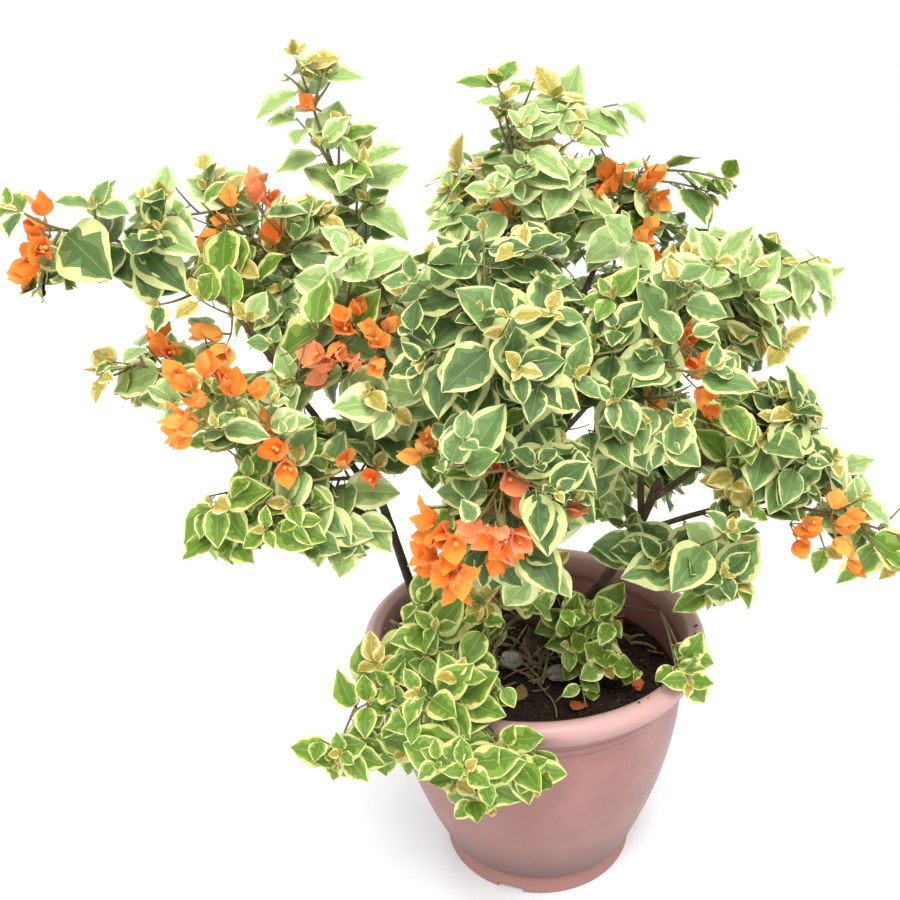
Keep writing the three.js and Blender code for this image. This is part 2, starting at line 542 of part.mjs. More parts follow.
// Joins a mass: its stem first, then each twig, bloom and leaf that has room
class MassBuilder {
  constructor(mass, balls, pieces) {
    this.mass = mass;
    this.balls = balls;
    this.pieces = pieces.filter((piece) => piece.owner !== mass.name);
    this.own = piecesOf(mass.stem, mass.stem, stemRadii);
    this.solids = [limbSolid(mass.stem, stemRadii, TWIG.sides)];
    this.fans = [];
  }

  // A twig has room if it stays in its mass's space and off the limbs
  twigFits(run) {
    const probes = [0.1, 0.25, 0.5, 0.75, 1].map((fraction) => run.getPoint(fraction));
    if (!probes.every(clearOfPot)) return false;
    if (!probes.slice(1).every((probe) => inOwnSpace(this.mass.name, probe, this.balls))) return false;
    const start = run.getPoint(0.1);
    return this.pieces.every((piece) => (
      gapOfPieces(start, run.getPoint(1), piece.a, piece.b) > piece.radius + TWIG.radius + MARGIN.limb));
  }

  addTwig(run) {
    this.solids.push(limbSolid(run, twigRadii, TWIG.sides));
    this.own.push(...piecesOf(run, run, () => TWIG.radius));
  }

  shapeFits(shape, carrier) {
    const corners = [...shape.rim, shape.heart];
    const fan = fanOf(shape);
    if (!corners.slice(1).every((corner) => inOwnSpace(this.mass.name, corner, this.balls))) return false;
    const halves = fan.map(({ b, c }) => b.clone().lerp(c, 0.5));
    const free = (corner) => corner.z > MARGIN.floor && clearOfPot(corner);
    if (![...corners.slice(1), ...halves].every(free)) return false;
    const others = this.own.filter((piece) => piece.owner !== carrier);
    const offPieces = [...this.pieces, ...others].every((piece) => (
      fan.every((half) => gapToTriangle(half, piece.a, piece.b) > piece.radius + MARGIN.blade)));
    if (!offPieces) return false;
    return this.fans.every((other) => (
      other.every((half) => fan.every(({ b, c }) => gapToTriangle(half, b, c) > MARGIN.blade))
      && fan.every((half) => other.every(({ b, c }) => gapToTriangle(half, b, c) > MARGIN.blade))));
  }

  addShape(shape) {
    this.solids.push(solidOf(shape.geometry));
    this.fans.push(fanOf(shape));
  }

  // Try a leaf at its own turn, then at a few others
  addLeaf(node) {
    for (let attempt = 0; attempt < LEAF.tries; attempt += 1) {
      const shape = leafShape(leafAt(node, this.mass.centre, attempt));
      if (this.shapeFits(shape, node.run)) {
        this.addShape(shape);
        return;
      }
    }
  }

  addBlossom(group) {
    if (!this.twigFits(group.run)) return;
    for (let attempt = 0; attempt < LEAF.tries; attempt += 1) {
      const shape = groupBloom(group, attempt);
      if (this.shapeFits(shape, group.run)) {
        this.addTwig(group.run);
        this.addShape(shape);
        return;
      }
    }
  }

  // The nodes of a side shoot, cut back to the length that has room
  addShoot(shoot) {
    for (const share of SHOOT.shares) {
      const length = shoot.length * share;
      const run = shootRun(this.mass.stem, shoot, length);
      if (this.twigFits(run)) {
        this.addTwig(run);
        return nodesAlong(run, length, SHOOT.leavesFrom, this.mass.leaf, seeded(shoot.seed));
      }
    }
    return [];
  }

  build(groups, limb) {
    const { shoots, nodes, stem } = this.mass;
    groups.forEach((group) => this.addBlossom(growBlossom(group, stem)));
    const held = shoots.filter((_, i) => i % SHOOT.oneIn === 0);
    const shootNodes = held.flatMap((shoot) => this.addShoot(shoot));
    [...shootNodes, ...nodes].forEach((node) => this.addLeaf(node));
    const carrier = limbSolid(limb.run, limb.radii, LIMB.sides, GAP);
    return mainBody(wasm.Manifold.union(this.solids).subtract(carrier));
  }
}

// A point of the body's wall at a share of its height, set in from the outside, which swells to the shoulder
function wallPoint(rise, inset = 0) {
  const radius = THREE.MathUtils.lerp(BODY_FOOT_RADIUS, SHOULDER_RADIUS, 1 - (1 - rise) ** BODY_SWELL);
  return [radius - inset, THREE.MathUtils.lerp(BODY_BOTTOM, RING_BOTTOM, rise)];
}

// The hollow's outline from its floor up, set in from the pot's outside
function hollowOutline(inset, floor) {
  return [
    [0, floor],
    [FOOT_RADIUS - CREASE_DEPTH - inset, floor],
    [BODY_FOOT_RADIUS - inset, floor + CREASE_HEIGHT + 1],
    ...[0.1, 0.4, 0.7].map((rise) => wallPoint(rise, inset)),
  ];
}

function turned(profile) {
  const points = profile.map(([radius, height]) => new THREE.Vector2(radius, height));
  return solidOf(new THREE.LatheGeometry(points, POT_FACETS).rotateX(Math.PI / 2));
}

function potSolid() {
  const ring = SHOULDER_RADIUS + RING_STEP;
  let pot = turned([
    [0, 0], [FOOT_RADIUS - EDGE / 2, 0], [FOOT_RADIUS, EDGE], [FOOT_RADIUS - CREASE_DEPTH, FOOT_HEIGHT],
    ...[0, 0.2, 0.4, 0.6, 0.8, 1].map((rise) => wallPoint(rise)),
    [ring, RING_BOTTOM + EDGE], [ring + EDGE, LIP_BOTTOM - EDGE / 2],
    [RIM_RADIUS - LIP_TAPER, LIP_BOTTOM], [RIM_RADIUS, POT_HEIGHT - 2.5 * RIM_BEAD],
    [RIM_RADIUS - EDGE, POT_HEIGHT - RIM_BEAD], [RIM_CREST, POT_HEIGHT],
    [RIM_CREST - 2 * RIM_BEAD, POT_HEIGHT - RIM_BEAD], [SHOULDER_RADIUS, LIP_BOTTOM],
    wallPoint(1, WALL),
    ...hollowOutline(WALL, FLOOR_TOP).reverse(),
  ]);
  for (let i = 0; i < DRAIN_COUNT; i += 1) {
    const channel = new THREE.BoxGeometry(DRAIN_LENGTH, DRAIN_WIDTH, DRAIN_HEIGHT * 2);
    channel.translate(FOOT_RADIUS + 8 - DRAIN_LENGTH / 2, 0, 0);
    const { radius, depth, sides, fromEdge } = DRAIN_HOLE;
    const hole = new THREE.CylinderGeometry(radius, radius, depth, sides).rotateX(Math.PI / 2);
    hole.translate(FOOT_RADIUS - fromEdge, 0, 0);
    for (const cut of [channel, hole]) {
      cut.rotateZ(DRAIN_TURN + (i * Math.PI * 2) / DRAIN_COUNT);
      pot = pot.subtract(solidOf(cut));
    }
  }
  return pot;
}

function soilSolid() {
  const top = (SOIL_TOP - BODY_BOTTOM) / (RING_BOTTOM - BODY_BOTTOM);
  const [edge] = wallPoint(top, WALL + SOIL_CLEAR);
  return turned([
    ...hollowOutline(WALL + SOIL_CLEAR, FLOOR_TOP + GAP),
    [edge, SOIL_TOP - EDGE * 2], [edge - EDGE, SOIL_TOP], [0, SOIL_TOP],
  ]);
}

// A worn stone with a flat underside
function stoneSolid({ at, size, turn }, index) {
  const random = seeded(311 + index);
  const ball = new THREE.IcosahedronGeometry(0.5, 0);
  ball.deleteAttribute('normal');
  ball.deleteAttribute('uv');
  const geometry = mergeVertices(ball, 1e-4);
  const position = geometry.attributes.position;
  for (let i = 0; i < position.count; i += 1) {
    const bump = 0.9 + 0.2 * random();
    const height = Math.max(position.getZ(i) * bump, -STONE_SUNK);
    position.setXYZ(i, position.getX(i) * bump, position.getY(i) * bump, height);
  }
  geometry.scale(...size);
  geometry.rotateZ(turn);
  geometry.translate(at[0], at[1], SOIL_TOP + GAP + STONE_SUNK * size[2]);
  return solidOf(geometry);
}

const bush = new THREE.Group();
bush.add(meshOf('pot', potSolid(), MOULDED));
bush.add(meshOf('soil', soilSolid(), EARTH));
STONES.forEach((stone, index) => bush.add(meshOf(stone.name, stoneSolid(stone, index), STONE)));

const limbs = growLimbs();
const ground = solidOf(new THREE.BoxGeometry(POT_HEIGHT, POT_HEIGHT, POT_HEIGHT)
  .translate(0, 0, SOIL_TOP + GAP - POT_HEIGHT / 2));
for (const { name, from, run, radii } of limbs.values()) {
  const parent = limbs.get(from);
  const carrier = parent ? limbSolid(parent.run, parent.radii, LIMB.sides, GAP) : ground;
  bush.add(meshOf(name, mainBody(limbSolid(run, radii, LIMB.sides).subtract(carrier)), BARK));
}

const masses = MASSES.map((row, index) => growMass(row, index, limbs));
const balls = masses.flatMap(spaceOf);
const pieces = [
  ...[...limbs.values()].flatMap(({ name, run, radii }) => piecesOf(name, run, radii)),
  ...masses.flatMap(({ name, stem }) => piecesOf(name, stem, stemRadii)),
];
const groups = BLOSSOM.map((row, seed) => ({ ...row, seed, owner: homeOf(vec(row.at), balls) }));
for (const mass of masses) {
  const own = groups.filter(({ owner }) => owner === mass.name);
  const solid = new MassBuilder(mass, balls, pieces).build(own, limbs.get(mass.from));
  bush.add(meshOf(mass.name, solid, FOLIAGE));
}

export default bush;
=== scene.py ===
"""A bougainvillea bush with cream-edged leaves and orange bracts, in a moulded pot, dressed around its frame.

The growth rule works in millimetres, and every mesh is written in metres. The origin is the centre of the
pot's underside, +Z is up and the bush's front is -Y.
"""

import json
import logging
import math
from dataclasses import dataclass, replace
from enum import Enum
from itertools import product
from typing import Callable, Optional, Sequence

import bmesh
import bpy
import numpy as np
from mathutils import Matrix, Vector, noise

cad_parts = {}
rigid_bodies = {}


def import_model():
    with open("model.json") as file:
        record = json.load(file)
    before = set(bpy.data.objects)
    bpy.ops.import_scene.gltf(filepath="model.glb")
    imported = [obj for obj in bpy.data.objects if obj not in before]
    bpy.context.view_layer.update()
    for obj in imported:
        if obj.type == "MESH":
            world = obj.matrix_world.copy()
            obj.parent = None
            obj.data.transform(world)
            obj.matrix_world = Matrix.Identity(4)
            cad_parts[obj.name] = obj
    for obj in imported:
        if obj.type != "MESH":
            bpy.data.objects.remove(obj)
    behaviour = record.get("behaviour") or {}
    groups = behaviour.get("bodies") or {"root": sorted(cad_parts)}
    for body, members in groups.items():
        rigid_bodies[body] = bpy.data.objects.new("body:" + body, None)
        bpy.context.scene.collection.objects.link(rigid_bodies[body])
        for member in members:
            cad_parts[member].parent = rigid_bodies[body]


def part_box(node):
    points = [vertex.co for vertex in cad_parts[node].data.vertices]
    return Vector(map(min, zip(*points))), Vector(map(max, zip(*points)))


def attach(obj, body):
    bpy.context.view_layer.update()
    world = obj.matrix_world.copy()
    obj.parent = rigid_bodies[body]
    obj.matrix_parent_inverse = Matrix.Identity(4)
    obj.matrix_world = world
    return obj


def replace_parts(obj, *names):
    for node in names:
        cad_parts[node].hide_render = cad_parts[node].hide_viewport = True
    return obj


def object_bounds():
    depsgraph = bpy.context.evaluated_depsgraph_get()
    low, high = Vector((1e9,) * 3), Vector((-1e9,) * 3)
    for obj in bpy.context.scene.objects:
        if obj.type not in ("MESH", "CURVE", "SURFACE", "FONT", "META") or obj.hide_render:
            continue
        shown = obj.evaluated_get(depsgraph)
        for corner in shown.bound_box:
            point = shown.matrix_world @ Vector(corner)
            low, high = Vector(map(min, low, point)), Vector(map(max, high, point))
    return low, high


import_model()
CAD_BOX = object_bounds()

log = logging.getLogger("bush")

Array = np.ndarray
Draw = Callable[[], float]
Material = bpy.types.Material
Piece = bpy.types.Object
Socket = bpy.types.NodeSocket
Tree = bpy.types.NodeTree

MM = 0.001
BODY = "root"
# A Mix node's sockets for colours: its share, its two inputs, and its result
MIX_SHARE, MIX_FIRST, MIX_SECOND, MIX_RESULT = 0, 6, 7, 2
GOLDEN_ANGLE = math.pi * (3 - math.sqrt(5))
UP = np.array((0.0, 0.0, 1.0))
CROWN_HEART = np.array((0.0, 20.0, 400.0))
FRONT = np.array((-0.08, -0.95, 0.3))


# Sizes

@dataclass(frozen=True)
class PotSizes:
    """The moulded pot, in millimetres."""

    height: float = 250.0
    rim_radius: float = 165.0
    rim_crest: float = 156.0
    rim_bead: float = 4.0
    lip_height: float = 25.0
    lip_taper: float = 7.0
    ring_height: float = 21.0
    ring_step: float = 2.5
    shoulder_radius: float = 144.0
    body_foot_radius: float = 98.0
    body_swell: float = 1.8
    foot_radius: float = 95.0
    foot_height: float = 17.0
    crease_depth: float = 7.0
    crease_height: float = 6.0
    edge: float = 2.0
    wall: float = 4.0
    floor_top: float = 21.0
    drain_count: int = 3
    drain_width: float = 26.0
    drain_height: float = 5.0
    drain_length: float = 41.0
    drain_turn: float = math.radians(248.0)

    @property
    def lip_bottom(self) -> float:
        """The height where the lip starts."""
        return self.height - self.lip_height

    @property
    def ring_bottom(self) -> float:
        """The height where the stepped ring under the lip starts."""
        return self.lip_bottom - self.ring_height

    @property
    def ring_middle(self) -> float:
        """The height of the small step in the ring."""
        return self.ring_bottom + 0.43 * self.ring_height

    @property
    def body_bottom(self) -> float:
        """The height where the body leaves the foot's crease."""
        return self.foot_height + self.crease_height


@dataclass(frozen=True)
class SoilSizes:
    """The potting soil and what lies on it, in millimetres."""

    top: float = 195.0
    clear: float = 1.2
    rings: int = 70
    sectors: int = 150
    roughness: float = 3.4
    sunk: float = 1.5
    lumps: tuple[tuple[float, float], ...] = ((38, 0.9), (13, 0.5), (4.5, 0.28))
    crumbs: int = 3400
    crumb: tuple[float, float] = (2.2, 0.75)
    smallest: float = 0.7
    largest: float = 5.0
    crumb_margin: float = 4.0
    crumb_lift: float = 0.3
    rim_crumbs: int = 26
    rim_turn: float = math.radians(-40)
    rim_sizes: tuple[float, float] = (0.5, 1.3)
    chips: int = 150
    chip_lengths: tuple[float, float] = (3.0, 9.0)
    chip_widths: tuple[float, float] = (1.2, 3.0)
    chip_height: float = 0.8
    chip_margin: float = 6.0
    chip_lift: float = 1.2
    tangle: int = 30
    uprights: int = 30
    stem_margin: float = 8.0
    fallen_leaves: int = 9
    fallen_reach: float = 120.0
    fallen_margin: float = 2.0
    bract_lengths: tuple[float, float] = (18.0, 25.0)
    leaf_lengths: tuple[float, float] = (11.0, 19.0)


@dataclass(frozen=True)
class LimbRule:
    """How a limb is drawn: its flare is at the soil, its taper is a power of the share of its length."""

    foot_depth: float = 6.0
    flare: float = 7.0
    flare_share: float = 0.12
    taper: float = 0.7
    steps: int = 28
    sides: int = 16
    tip_round: float = 0.55


@dataclass(frozen=True)
class StemRule:
    """The stem of a mass of foliage."""

    radius: float = 2.2
    steps: int = 14
    rise: float = 0.06
    leaves_from: float = 0.18
    rim_steps: int = 11
    sides: int = 8
    slender_spread: float = 1.6
    heart_at: float = 0.55
    heart_drop: float = 0.3
    balls: tuple[float, ...] = (0.25, 0.6, 0.95)


@dataclass(frozen=True)
class ShootRule:
    """The side shoots of a stem, and the finer twigs that they carry."""

    first: float = 0.14
    spread: float = 0.8
    lean: float = 1.06
    shortest: float = 0.78
    varied: float = 0.4
    shrink: float = 0.2
    rise: float = 0.12
    sag: float = 0.12
    leaves_from: float = 0.24
    shares: tuple[float, ...] = (1.0, 0.75, 0.5, 0.3)
    finer_at: tuple[float, ...] = (0.32, 0.6)
    finer_length: float = 0.48
    finer_lean: float = 0.85
    finer_lift: float = 0.15
    finer_leaves_from: float = 0.3
    finer_leaf: float = 0.86
    slender_from: float = 0.6
    slender_leaf: float = 1.18
    slender_apart: float = 1.9
    centre_leaf: float = 0.84


@dataclass(frozen=True)
class SprigRule:
    """Sprigs that stand out of their masses. The heart of a leaf and the room round it are in millimetres."""

    rise: float = 0.12
    leaves_from: float = 0.3
    heart: float = 20.0
    room: float = 7.0


@dataclass(frozen=True)
class SpurRule:
    """Short leafy spurs along the outer part of a bough. Lengths in millimetres."""

    places: tuple[float, ...] = (0.5, 0.66, 0.82, 0.96)
    shortest: float = 26.0
    varied: float = 22.0
    lift: float = 0.3
    lean: float = 0.9
    leaves_from: float = 0.25
    leaf: float = 0.9


@dataclass(frozen=True)
class TwigRule:
    """Radii of twigs, in millimetres."""

    radius: float = 1.35
    tip: float = 0.7
    finer: float = 0.95
    finer_tip: float = 0.55
    steps: int = 6
    sides: int = 6
    finer_sides: int = 5
    probes: tuple[float, ...] = (0.1, 0.25, 0.5, 0.75, 1.0)


@dataclass(frozen=True)
class LeafRule:
    """How leaves stand on their twigs. Leans and turns are in radians, lengths in millimetres."""

    pitch: float = 10.0
    largest: float = 1.06
    shrink: float = 0.42
    varied: float = 0.28
    tip_size: float = 0.7
    growth: float = 0.92
    lean: float = 1.05
    lean_loss: float = 0.35
    tip_lean: float = 0.25
    droop: float = 0.16
    tip_rise: float = 0.2
    turn_aside: float = 0.55
    heart_pull: float = 1.2
    tries: int = 5
    try_turn: float = 1.3
    try_lean: float = 0.1
    stalk: float = 0.15
    crowding: float = 0.2
    front: float = 0.75
    front_aside: float = 0.4
    front_until: float = 110.0
    front_fade: float = 120.0
    high: float = 540.0
    high_gain: float = 0.8
    high_fade: float = 180.0
    rosette_scale: float = 1.3
    # Sprays that end above this height are mostly light: painted light on the top of the crown
    pale_above: float = 590.0
    last_node: float = 0.98
    heart: float = 0.45
    half: float = 0.33
    rosette_tip: float = 0.85
    wobble: float = 0.7
    face_up: float = 0.75
    face_up_loss: float = 0.2
    face_out: float = 0.8
    face_out_loss: float = 0.25
    young_from: float = 0.8
    young_below: float = 30.0
    young_share: float = 0.3
    thorn_share: float = 0.16


@dataclass(frozen=True)
class RosetteRule:
    """The leaves that end a twig. Each row of sizes has a leaf's size, and its lean in radians."""

    sizes: tuple[tuple[float, float], ...] = ((0.8, 1.2), (0.7, 1.1), (0.56, 0.95), (0.4, 0.7), (0.26, 0.35))
    last: float = 0.985
    depth: float = 0.02
    sway: float = 0.12
    rise: float = 0.12
    face_up: float = 0.8
    face_out: float = 0.6
    face_sway: float = 0.25
    golden_share: float = 0.22


@dataclass(frozen=True)
class BlossomRule:
    """Groups of clusters of three bracts. Leans are in radians, lengths in millimetres."""

    stalk: float = 16.0
    heart_pull: float = 0.8
    spread: float = 0.85
    rise: float = 0.3
    first_foot: float = 6.0
    other_feet: float = 15.0
    faded_below: float = 565.0
    faded_front: float = -90.0
    bracts: tuple[float, float] = (18.0, 24.0)
    varied: tuple[float, float] = (0.88, 1.12)
    openings: tuple[float, float] = (0.3, 0.72)
    sway: tuple[float, float] = (-0.12, 0.2)
    flower_share: float = 0.35
    flower_foot: float = 0.08
    flowers: tuple[float, float] = (7.0, 11.0)


@dataclass(frozen=True)
class ZoneRule:
    """Where a leaf's zones end, as shares of its half width: its rib, its dark heart and its cream edge."""

    rib: float = 0.035
    widest: float = 0.93
    narrowest: float = 0.62
    narrowest_lime: float = 0.76
    end_loss: float = 0.34
    middle: float = 0.86
    end_power: float = 2.4
    rough: float = 0.055
    rough_pairs: float = 0.6
    notch: float = 0.42
    notch_places: tuple[float, float] = (0.1, 0.95)
    notch_width: float = 0.09
    border_range: tuple[float, float] = (0.2, 0.95)
    heart: float = 0.62
    heart_varied: float = 0.2
    heart_range: tuple[float, float] = (0.22, 0.94)


@dataclass(frozen=True)
class BarkRule:
    """The bark's relief. Shares are of a limb's radius, lengths in millimetres."""

    ring_pitch: float = 3.2
    fewest_rings: int = 16
    knot: float = 0.07
    knot_pitch: float = 9.5
    knot_power: int = 9
    ridge: float = 0.075
    ridge_turn: float = 1.6
    ridge_length: float = 26.0
    fine: float = 0.05
    fine_scale: float = 3.1


@dataclass(frozen=True)
class Seeds:
    """Numbers that keep the streams of random numbers apart."""

    mass: int = 7001
    mass_step: int = 97
    shoot_step: int = 31
    stem_leaves: int = 29
    finer_step: int = 7
    spur_step: int = 3
    sprig: int = 9001
    foliage: int = 41
    blossom: int = 67
    soil: int = 23
    limb_step: float = 5.3


@dataclass(frozen=True)
class Margins:
    """Room kept between things, in millimetres. A negative space lets leaves of two masses mingle."""

    space: float = 0.8
    mingle: float = -9.0
    limb: float = 0.6
    blade: float = 1.2
    rim: float = 3.0
    wall: float = 15.0
    above: float = 2.0
    floor: float = 4.0
    box: float = 7.0
    bloom: float = 11.0
    bloom_length: float = 64.0
    bloom_each: float = 4.0
    bloom_pixels: float = 14.0
    bloom_pixels_each: float = 3.5
    bloom_back: float = 100.0
    opening_heart: float = 1.6
    opening_tip: float = 0.7
    cell: float = 12.0


POT = PotSizes()
SOIL = SoilSizes()
LIMB = LimbRule()
STEM = StemRule()
SHOOT = ShootRule()
TWIG = TwigRule()
SPRIG = SprigRule()
SPUR = SpurRule()
LEAF = LeafRule()
ROSETTE = RosetteRule()
BLOOM = BlossomRule()
ZONE = ZoneRule()
BARK = BarkRule()
SEED = Seeds()
MARGIN = Margins()


# Rows of the plan

@dataclass(frozen=True)
class LimbRow:
    """One woody limb: it leaves its parent at a share of its length, or the soil at a foot."""

    name: str
    tip: tuple[float, float, float]
    bow: tuple[float, float, float]
    radius: tuple[float, float]
    parent: str = ""
    at: float = 0.0
    foot: tuple[float, float] = (0.0, 0.0)


@dataclass(frozen=True)
class MassRow:
    """One mass of foliage: it grows from a limb to its own tip, and its shoots reach as far as its girth."""

    name: str
    limb: str
    tip: tuple[float, float, float]
    girth: float
    shoots: int
    leaf: float
    at: float = 1.0
    arch: Optional[float] = None


LIMBS = (
    LimbRow("trunk", (24, 28, 585), (6, -22, 0), (13, 3.6), foot=(8, 34)),
    LimbRow("left_stem", (-136, -66, 440), (4, 4, 0), (5.2, 3.6), foot=(-97, 14)),
    LimbRow("right_stem", (122, 6, 392), (26, 4, -26), (7.5, 4), "trunk", 0.05),
    LimbRow("back_stem", (-14, 140, 455), (-8, 26, -20), (7, 3.8), "trunk", 0.07),
    LimbRow("front_stem", (-40, -98, 420), (-14, -26, -20), (6, 3.4), "trunk", 0.09),
    LimbRow("top_left_bough", (-128, 14, 574), (10, 0, -16), (4.2, 2.7), "trunk", 0.56),
    LimbRow("upper_left_bough", (-168, -8, 560), (0, -10, -22), (4.2, 2.7), "trunk", 0.47),
    LimbRow("far_left_bough", (-232, -72, 592), (-6, 0, 14), (3.2, 2.4), "left_stem", 0.86),
    LimbRow("left_middle_bough", (-214, -58, 512), (0, 6, -10), (2.8, 2.2), "far_left_bough", 0.3),
    LimbRow("left_flower_bough", (-186, -116, 462), (0, 0, -8), (3, 2.3), "left_stem", 0.8),
    LimbRow("centre_left_bough", (-76, -34, 500), (6, 0, -12), (3.8, 2.6), "trunk", 0.62),
    LimbRow("centre_bough", (-8, -66, 520), (0, -6, -8), (3.6, 2.6), "trunk", 0.7),
    LimbRow("centre_right_bough", (68, -40, 462), (0, -6, -10), (3.6, 2.6), "trunk", 0.6),
    LimbRow("top_right_bough", (78, 74, 592), (4, 6, -14), (3.6, 2.6), "trunk", 0.82),
    LimbRow("right_upper_bough", (128, 34, 498), (-14, 4, 4), (3.6, 2.6), "right_stem", 0.8),
    LimbRow("right_middle_bough", (178, -6, 428), (0, 0, -4), (3.4, 2.5), "right_stem", 0.9),
    LimbRow("far_right_bough", (208, -34, 382), (6, 0, 12), (3, 2.3), "right_stem", 0.72),
    LimbRow("lower_right_bough", (112, -46, 350), (0, -4, 14), (3.2, 2.4), "right_stem", 0.55),
    LimbRow("back_left_bough", (-116, 136, 480), (0, 6, -12), (3.8, 2.6), "back_stem", 0.7),
    LimbRow("back_right_bough", (110, 138, 462), (0, 6, -12), (3.8, 2.6), "back_stem", 0.6),
    LimbRow("back_low_bough", (-62, 186, 372), (0, 4, 8), (3.4, 2.5), "back_stem", 0.5),
    LimbRow("back_low_right_bough", (92, 160, 336), (0, 4, 10), (3.4, 2.5), "back_stem", 0.4),
)

MASSES = (
    MassRow("top_left_shoot", "top_left_bough", (-176, 20, 775), 34, 8, 42),
    MassRow("upper_left_mass", "upper_left_bough", (-258, 0, 676), 68, 12, 46),
    MassRow("far_left_mass", "far_left_bough", (-362, -80, 660), 52, 12, 46, arch=34),
    MassRow("left_middle_mass", "left_middle_bough", (-336, -62, 552), 46, 9, 44),
    MassRow("left_flower_mass", "left_flower_bough", (-244, -150, 530), 46, 7, 40),
    MassRow("lower_left_mass", "left_stem", (-262, -112, 452), 64, 13, 46),
    MassRow("centre_left_mass", "centre_left_bough", (-160, -84, 592), 76, 12, 50),
    MassRow("centre_mass", "centre_bough", (-46, -158, 596), 80, 13, 52),
    MassRow("centre_right_mass", "centre_right_bough", (82, -116, 556), 74, 15, 50),
    MassRow("top_centre_mass", "trunk", (-14, 50, 716), 78, 13, 46),
    MassRow("top_right_mass", "top_right_bough", (126, 96, 672), 74, 13, 44),
    MassRow("right_upper_mass", "right_upper_bough", (216, 36, 590), 80, 14, 48),
    MassRow("right_middle_mass", "right_middle_bough", (250, -8, 436), 68, 13, 50),
    MassRow("far_right_mass", "far_right_bough", (346, -50, 338), 44, 7, 48),
    MassRow("lower_right_mass", "lower_right_bough", (172, -64, 318), 60, 12, 46),
    MassRow("front_mass", "front_stem", (-30, -200, 500), 66, 12, 50),
    MassRow("low_left_mass", "left_stem", (-184, -152, 216), 54, 13, 42, at=0.2, arch=70),
    MassRow("low_front_mass", "front_stem", (-84, -204, 226), 74, 18, 44, at=0.12, arch=110),
    MassRow("low_middle_mass", "front_stem", (-112, -112, 306), 74, 18, 44, at=0.24),
    MassRow("pot_sprout", "right_stem", (66, -34, 262), 44, 6, 32, at=0.14),
    MassRow("rim_sprout", "right_stem", (164, -58, 270), 34, 5, 30, at=0.3),
    MassRow("back_left_mass", "back_left_bough", (-226, 190, 566), 88, 11, 54),
    MassRow("back_mass", "back_stem", (8, 252, 612), 92, 11, 54),
    MassRow("back_right_mass", "back_right_bough", (236, 184, 548), 88, 11, 54),
    MassRow("back_low_mass", "back_low_bough", (-110, 268, 376), 72, 9, 52),
    MassRow("back_low_right_mass", "back_low_right_bough", (188, 214, 330), 68, 9, 52),
)

LOW_MASSES = ("low_left_mass", "low_front_mass", "low_middle_mass", "pot_sprout", "rim_sprout")
SLENDER_MASSES = ("top_left_shoot", "far_left_mass", "left_middle_mass", "far_right_mass", "rim_sprout",
                  "lower_right_mass")
THINNED_MASSES = ("far_left_mass", "top_left_shoot")
DARK_MASSES = ("lower_right_mass", "right_middle_mass", "far_left_mass")
BRIGHT_MASSES = ("lower_left_mass", "far_right_mass")
OPEN_TOPS = ("top_centre_mass", "top_right_mass")
CENTRE_MASSES = ("centre_mass", "centre_right_mass", "front_mass")

# The chances of a deep, middle, light or lime spray: by mass, then for any other that ends high up, or lower
# The centre masses' deep sprays are painted shade for the crown's shaded middle.
SPRAY_CHANCES = (
    (LOW_MASSES, (0.0, 0.0, 0.0, 1.0)),
    (DARK_MASSES, (0.5, 0.26, 0.1, 0.14)),
    (CENTRE_MASSES, (0.45, 0.49, 0.0, 0.06)),
    (BRIGHT_MASSES, (0.0, 0.14, 0.3, 0.56)),
)
# Sprays that end high up are mostly light: painted light on the top of the crown
HIGH_CHANCES = (0.0, 0.1, 0.64, 0.26)
OTHER_CHANCES = (0.06, 0.2, 0.46, 0.28)

# Where each blossom group opens, and how many clusters of bracts it has
BLOSSOM = (
    ((-170, 12, 732), 1), ((-246, -14, 646), 2), ((-214, -12, 672), 2), ((-204, -22, 638), 1),
    ((-362, -98, 662), 2), ((-370, -100, 634), 2), ((-296, -72, 564), 2), ((-252, -70, 566), 2),
    ((-256, -152, 560), 3), ((-222, -150, 554), 3), ((-260, -154, 524), 4), ((-200, -146, 498), 2),
    ((-150, -116, 476), 1), ((-142, -108, 578), 3), ((-160, -106, 548), 4), ((-118, -112, 566), 3),
    ((-134, -106, 452), 1), ((-90, -130, 490), 2), ((-14, 8, 640), 1), ((84, 60, 654), 3),
    ((118, 66, 650), 2), ((110, 30, 608), 2), ((136, -24, 528), 2), ((146, -28, 500), 2),
    ((112, -34, 478), 2), ((156, -40, 470), 1), ((232, -62, 358), 2), ((268, -66, 364), 3),
    ((278, -70, 326), 1), ((-26, -184, 478), 3), ((-81, -200, 443), 5), ((-80, -192, 412), 5),
    ((-44, -204, 444), 5), ((-34, -198, 434), 3), ((24, -150, 436), 1), ((-216, 226, 600), 3),
    ((-268, 150, 560), 2), ((40, 270, 590), 3), ((-50, 274, 560), 2), ((252, 218, 548), 3),
    ((180, 240, 500), 2), ((-96, 290, 420), 2), ((150, 254, 360), 2),
)

